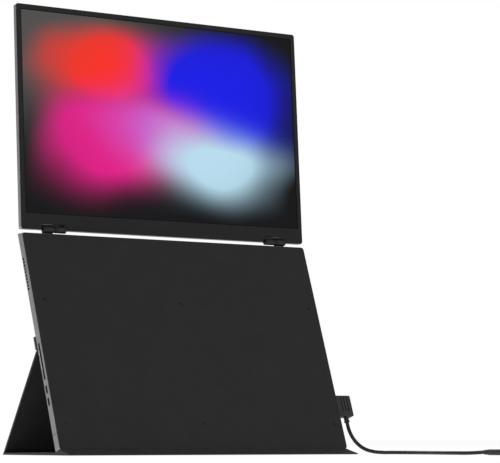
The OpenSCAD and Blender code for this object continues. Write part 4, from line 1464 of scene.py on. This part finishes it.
    def lip(self) -> None:
        """The front lip under the housing, with a rounded tip."""
        foot, toe, heel = (point_in(self.home, 0, v, 0) for v in (0, 0.4, 10.8))
        tip, end = foot.y - self.lip_len, self.places.joints["stand_fold"].y - 0.3
        lip = prism("lip_cover", [
            (tip, 0), (end, 0), (end, heel.z - 0.1), (heel.y, heel.z), (toe.y, toe.z),
            (toe.y - 0.6, toe.z - 0.6), (tip, 1),
        ], self.half)
        sharp = sharper(self.crease)
        bevel(lip, 0.35,
              lambda e: sharp(e) and all(v.co.y < (tip + 1) * MM for v in e.verts), 4)
        smooth(lip, self.smooth_to)
        self.piece(lip, "base", LEATHER, "front_lip")

    def web(
        self, name: str, path: Sequence[Vector], thick: float, bodies: tuple[str, str],
        span: tuple[Vector, Vector],
    ) -> None:
        """A soft fold between two panels, made as one fixed piece.

        Args:
            name: the piece's name.
            path: its middle line.
            thick: its thickness.
            bodies: the body at each end; not used.
            span: where the bend starts and ends; not used.
        """
        web = ribbon(name, self.half - 0.6, [(p.y, p.z) for p in path], thick)
        web.data.materials.append(LEATHER.build())
        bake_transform(web)

    def folds(self) -> None:
        """The folds at the foot, at the rear edge and under the strip."""
        hinge, rear = self.places.joints["stand_fold"], self.places.joints["leaf_fold"]
        self.web("fold_foot", [hinge + Vector((0, *p)) for p in self.FOOT], 0.2,
                 ("base", "flap"), (hinge + Vector((0, -0.3, 0)), hinge + Vector((0, 0.9, 0))))
        place = self.leaf_place()
        back = [rear + Vector((0, *p)) for p in self.REAR]
        back += [point_in(place, 0, -0.34, up) for up in self.REAR_UP]
        self.web("fold_rear", back, 0.6, ("flap", "leaf"),
                 (rear + Vector((0, 0, 0.36)), rear + Vector((0, 0, 1.4))))
        run, v, u = self.leaf_len(), self.back_v + 1.25, self.strip_u
        top = [point_in(place, 0, -1.15, run - down) for down in self.TOP[::-1]]
        top += [point_in(self.home, 0, v, u + up) for up in self.TOP]
        self.web("fold_top", top, 1.5, ("leaf", "strip"), (top[2], top[5]))

    def model(self) -> None:
        """Makes the stand's leather."""
        self.flap()
        self.leaf()
        self.strip()
        self.lip()
        self.folds()


def main() -> None:
    """Builds the studio and the object, the camera and the lead first."""
    logging.basicConfig(level=logging.INFO, format="%(name)s: %(message)s")
    Studio().build()
    places = Places()
    for assembly in (Lead, DisplayUnit, Housing, CoverStand):
        assembly(places).build()


if __name__ == "__main__":
    main()
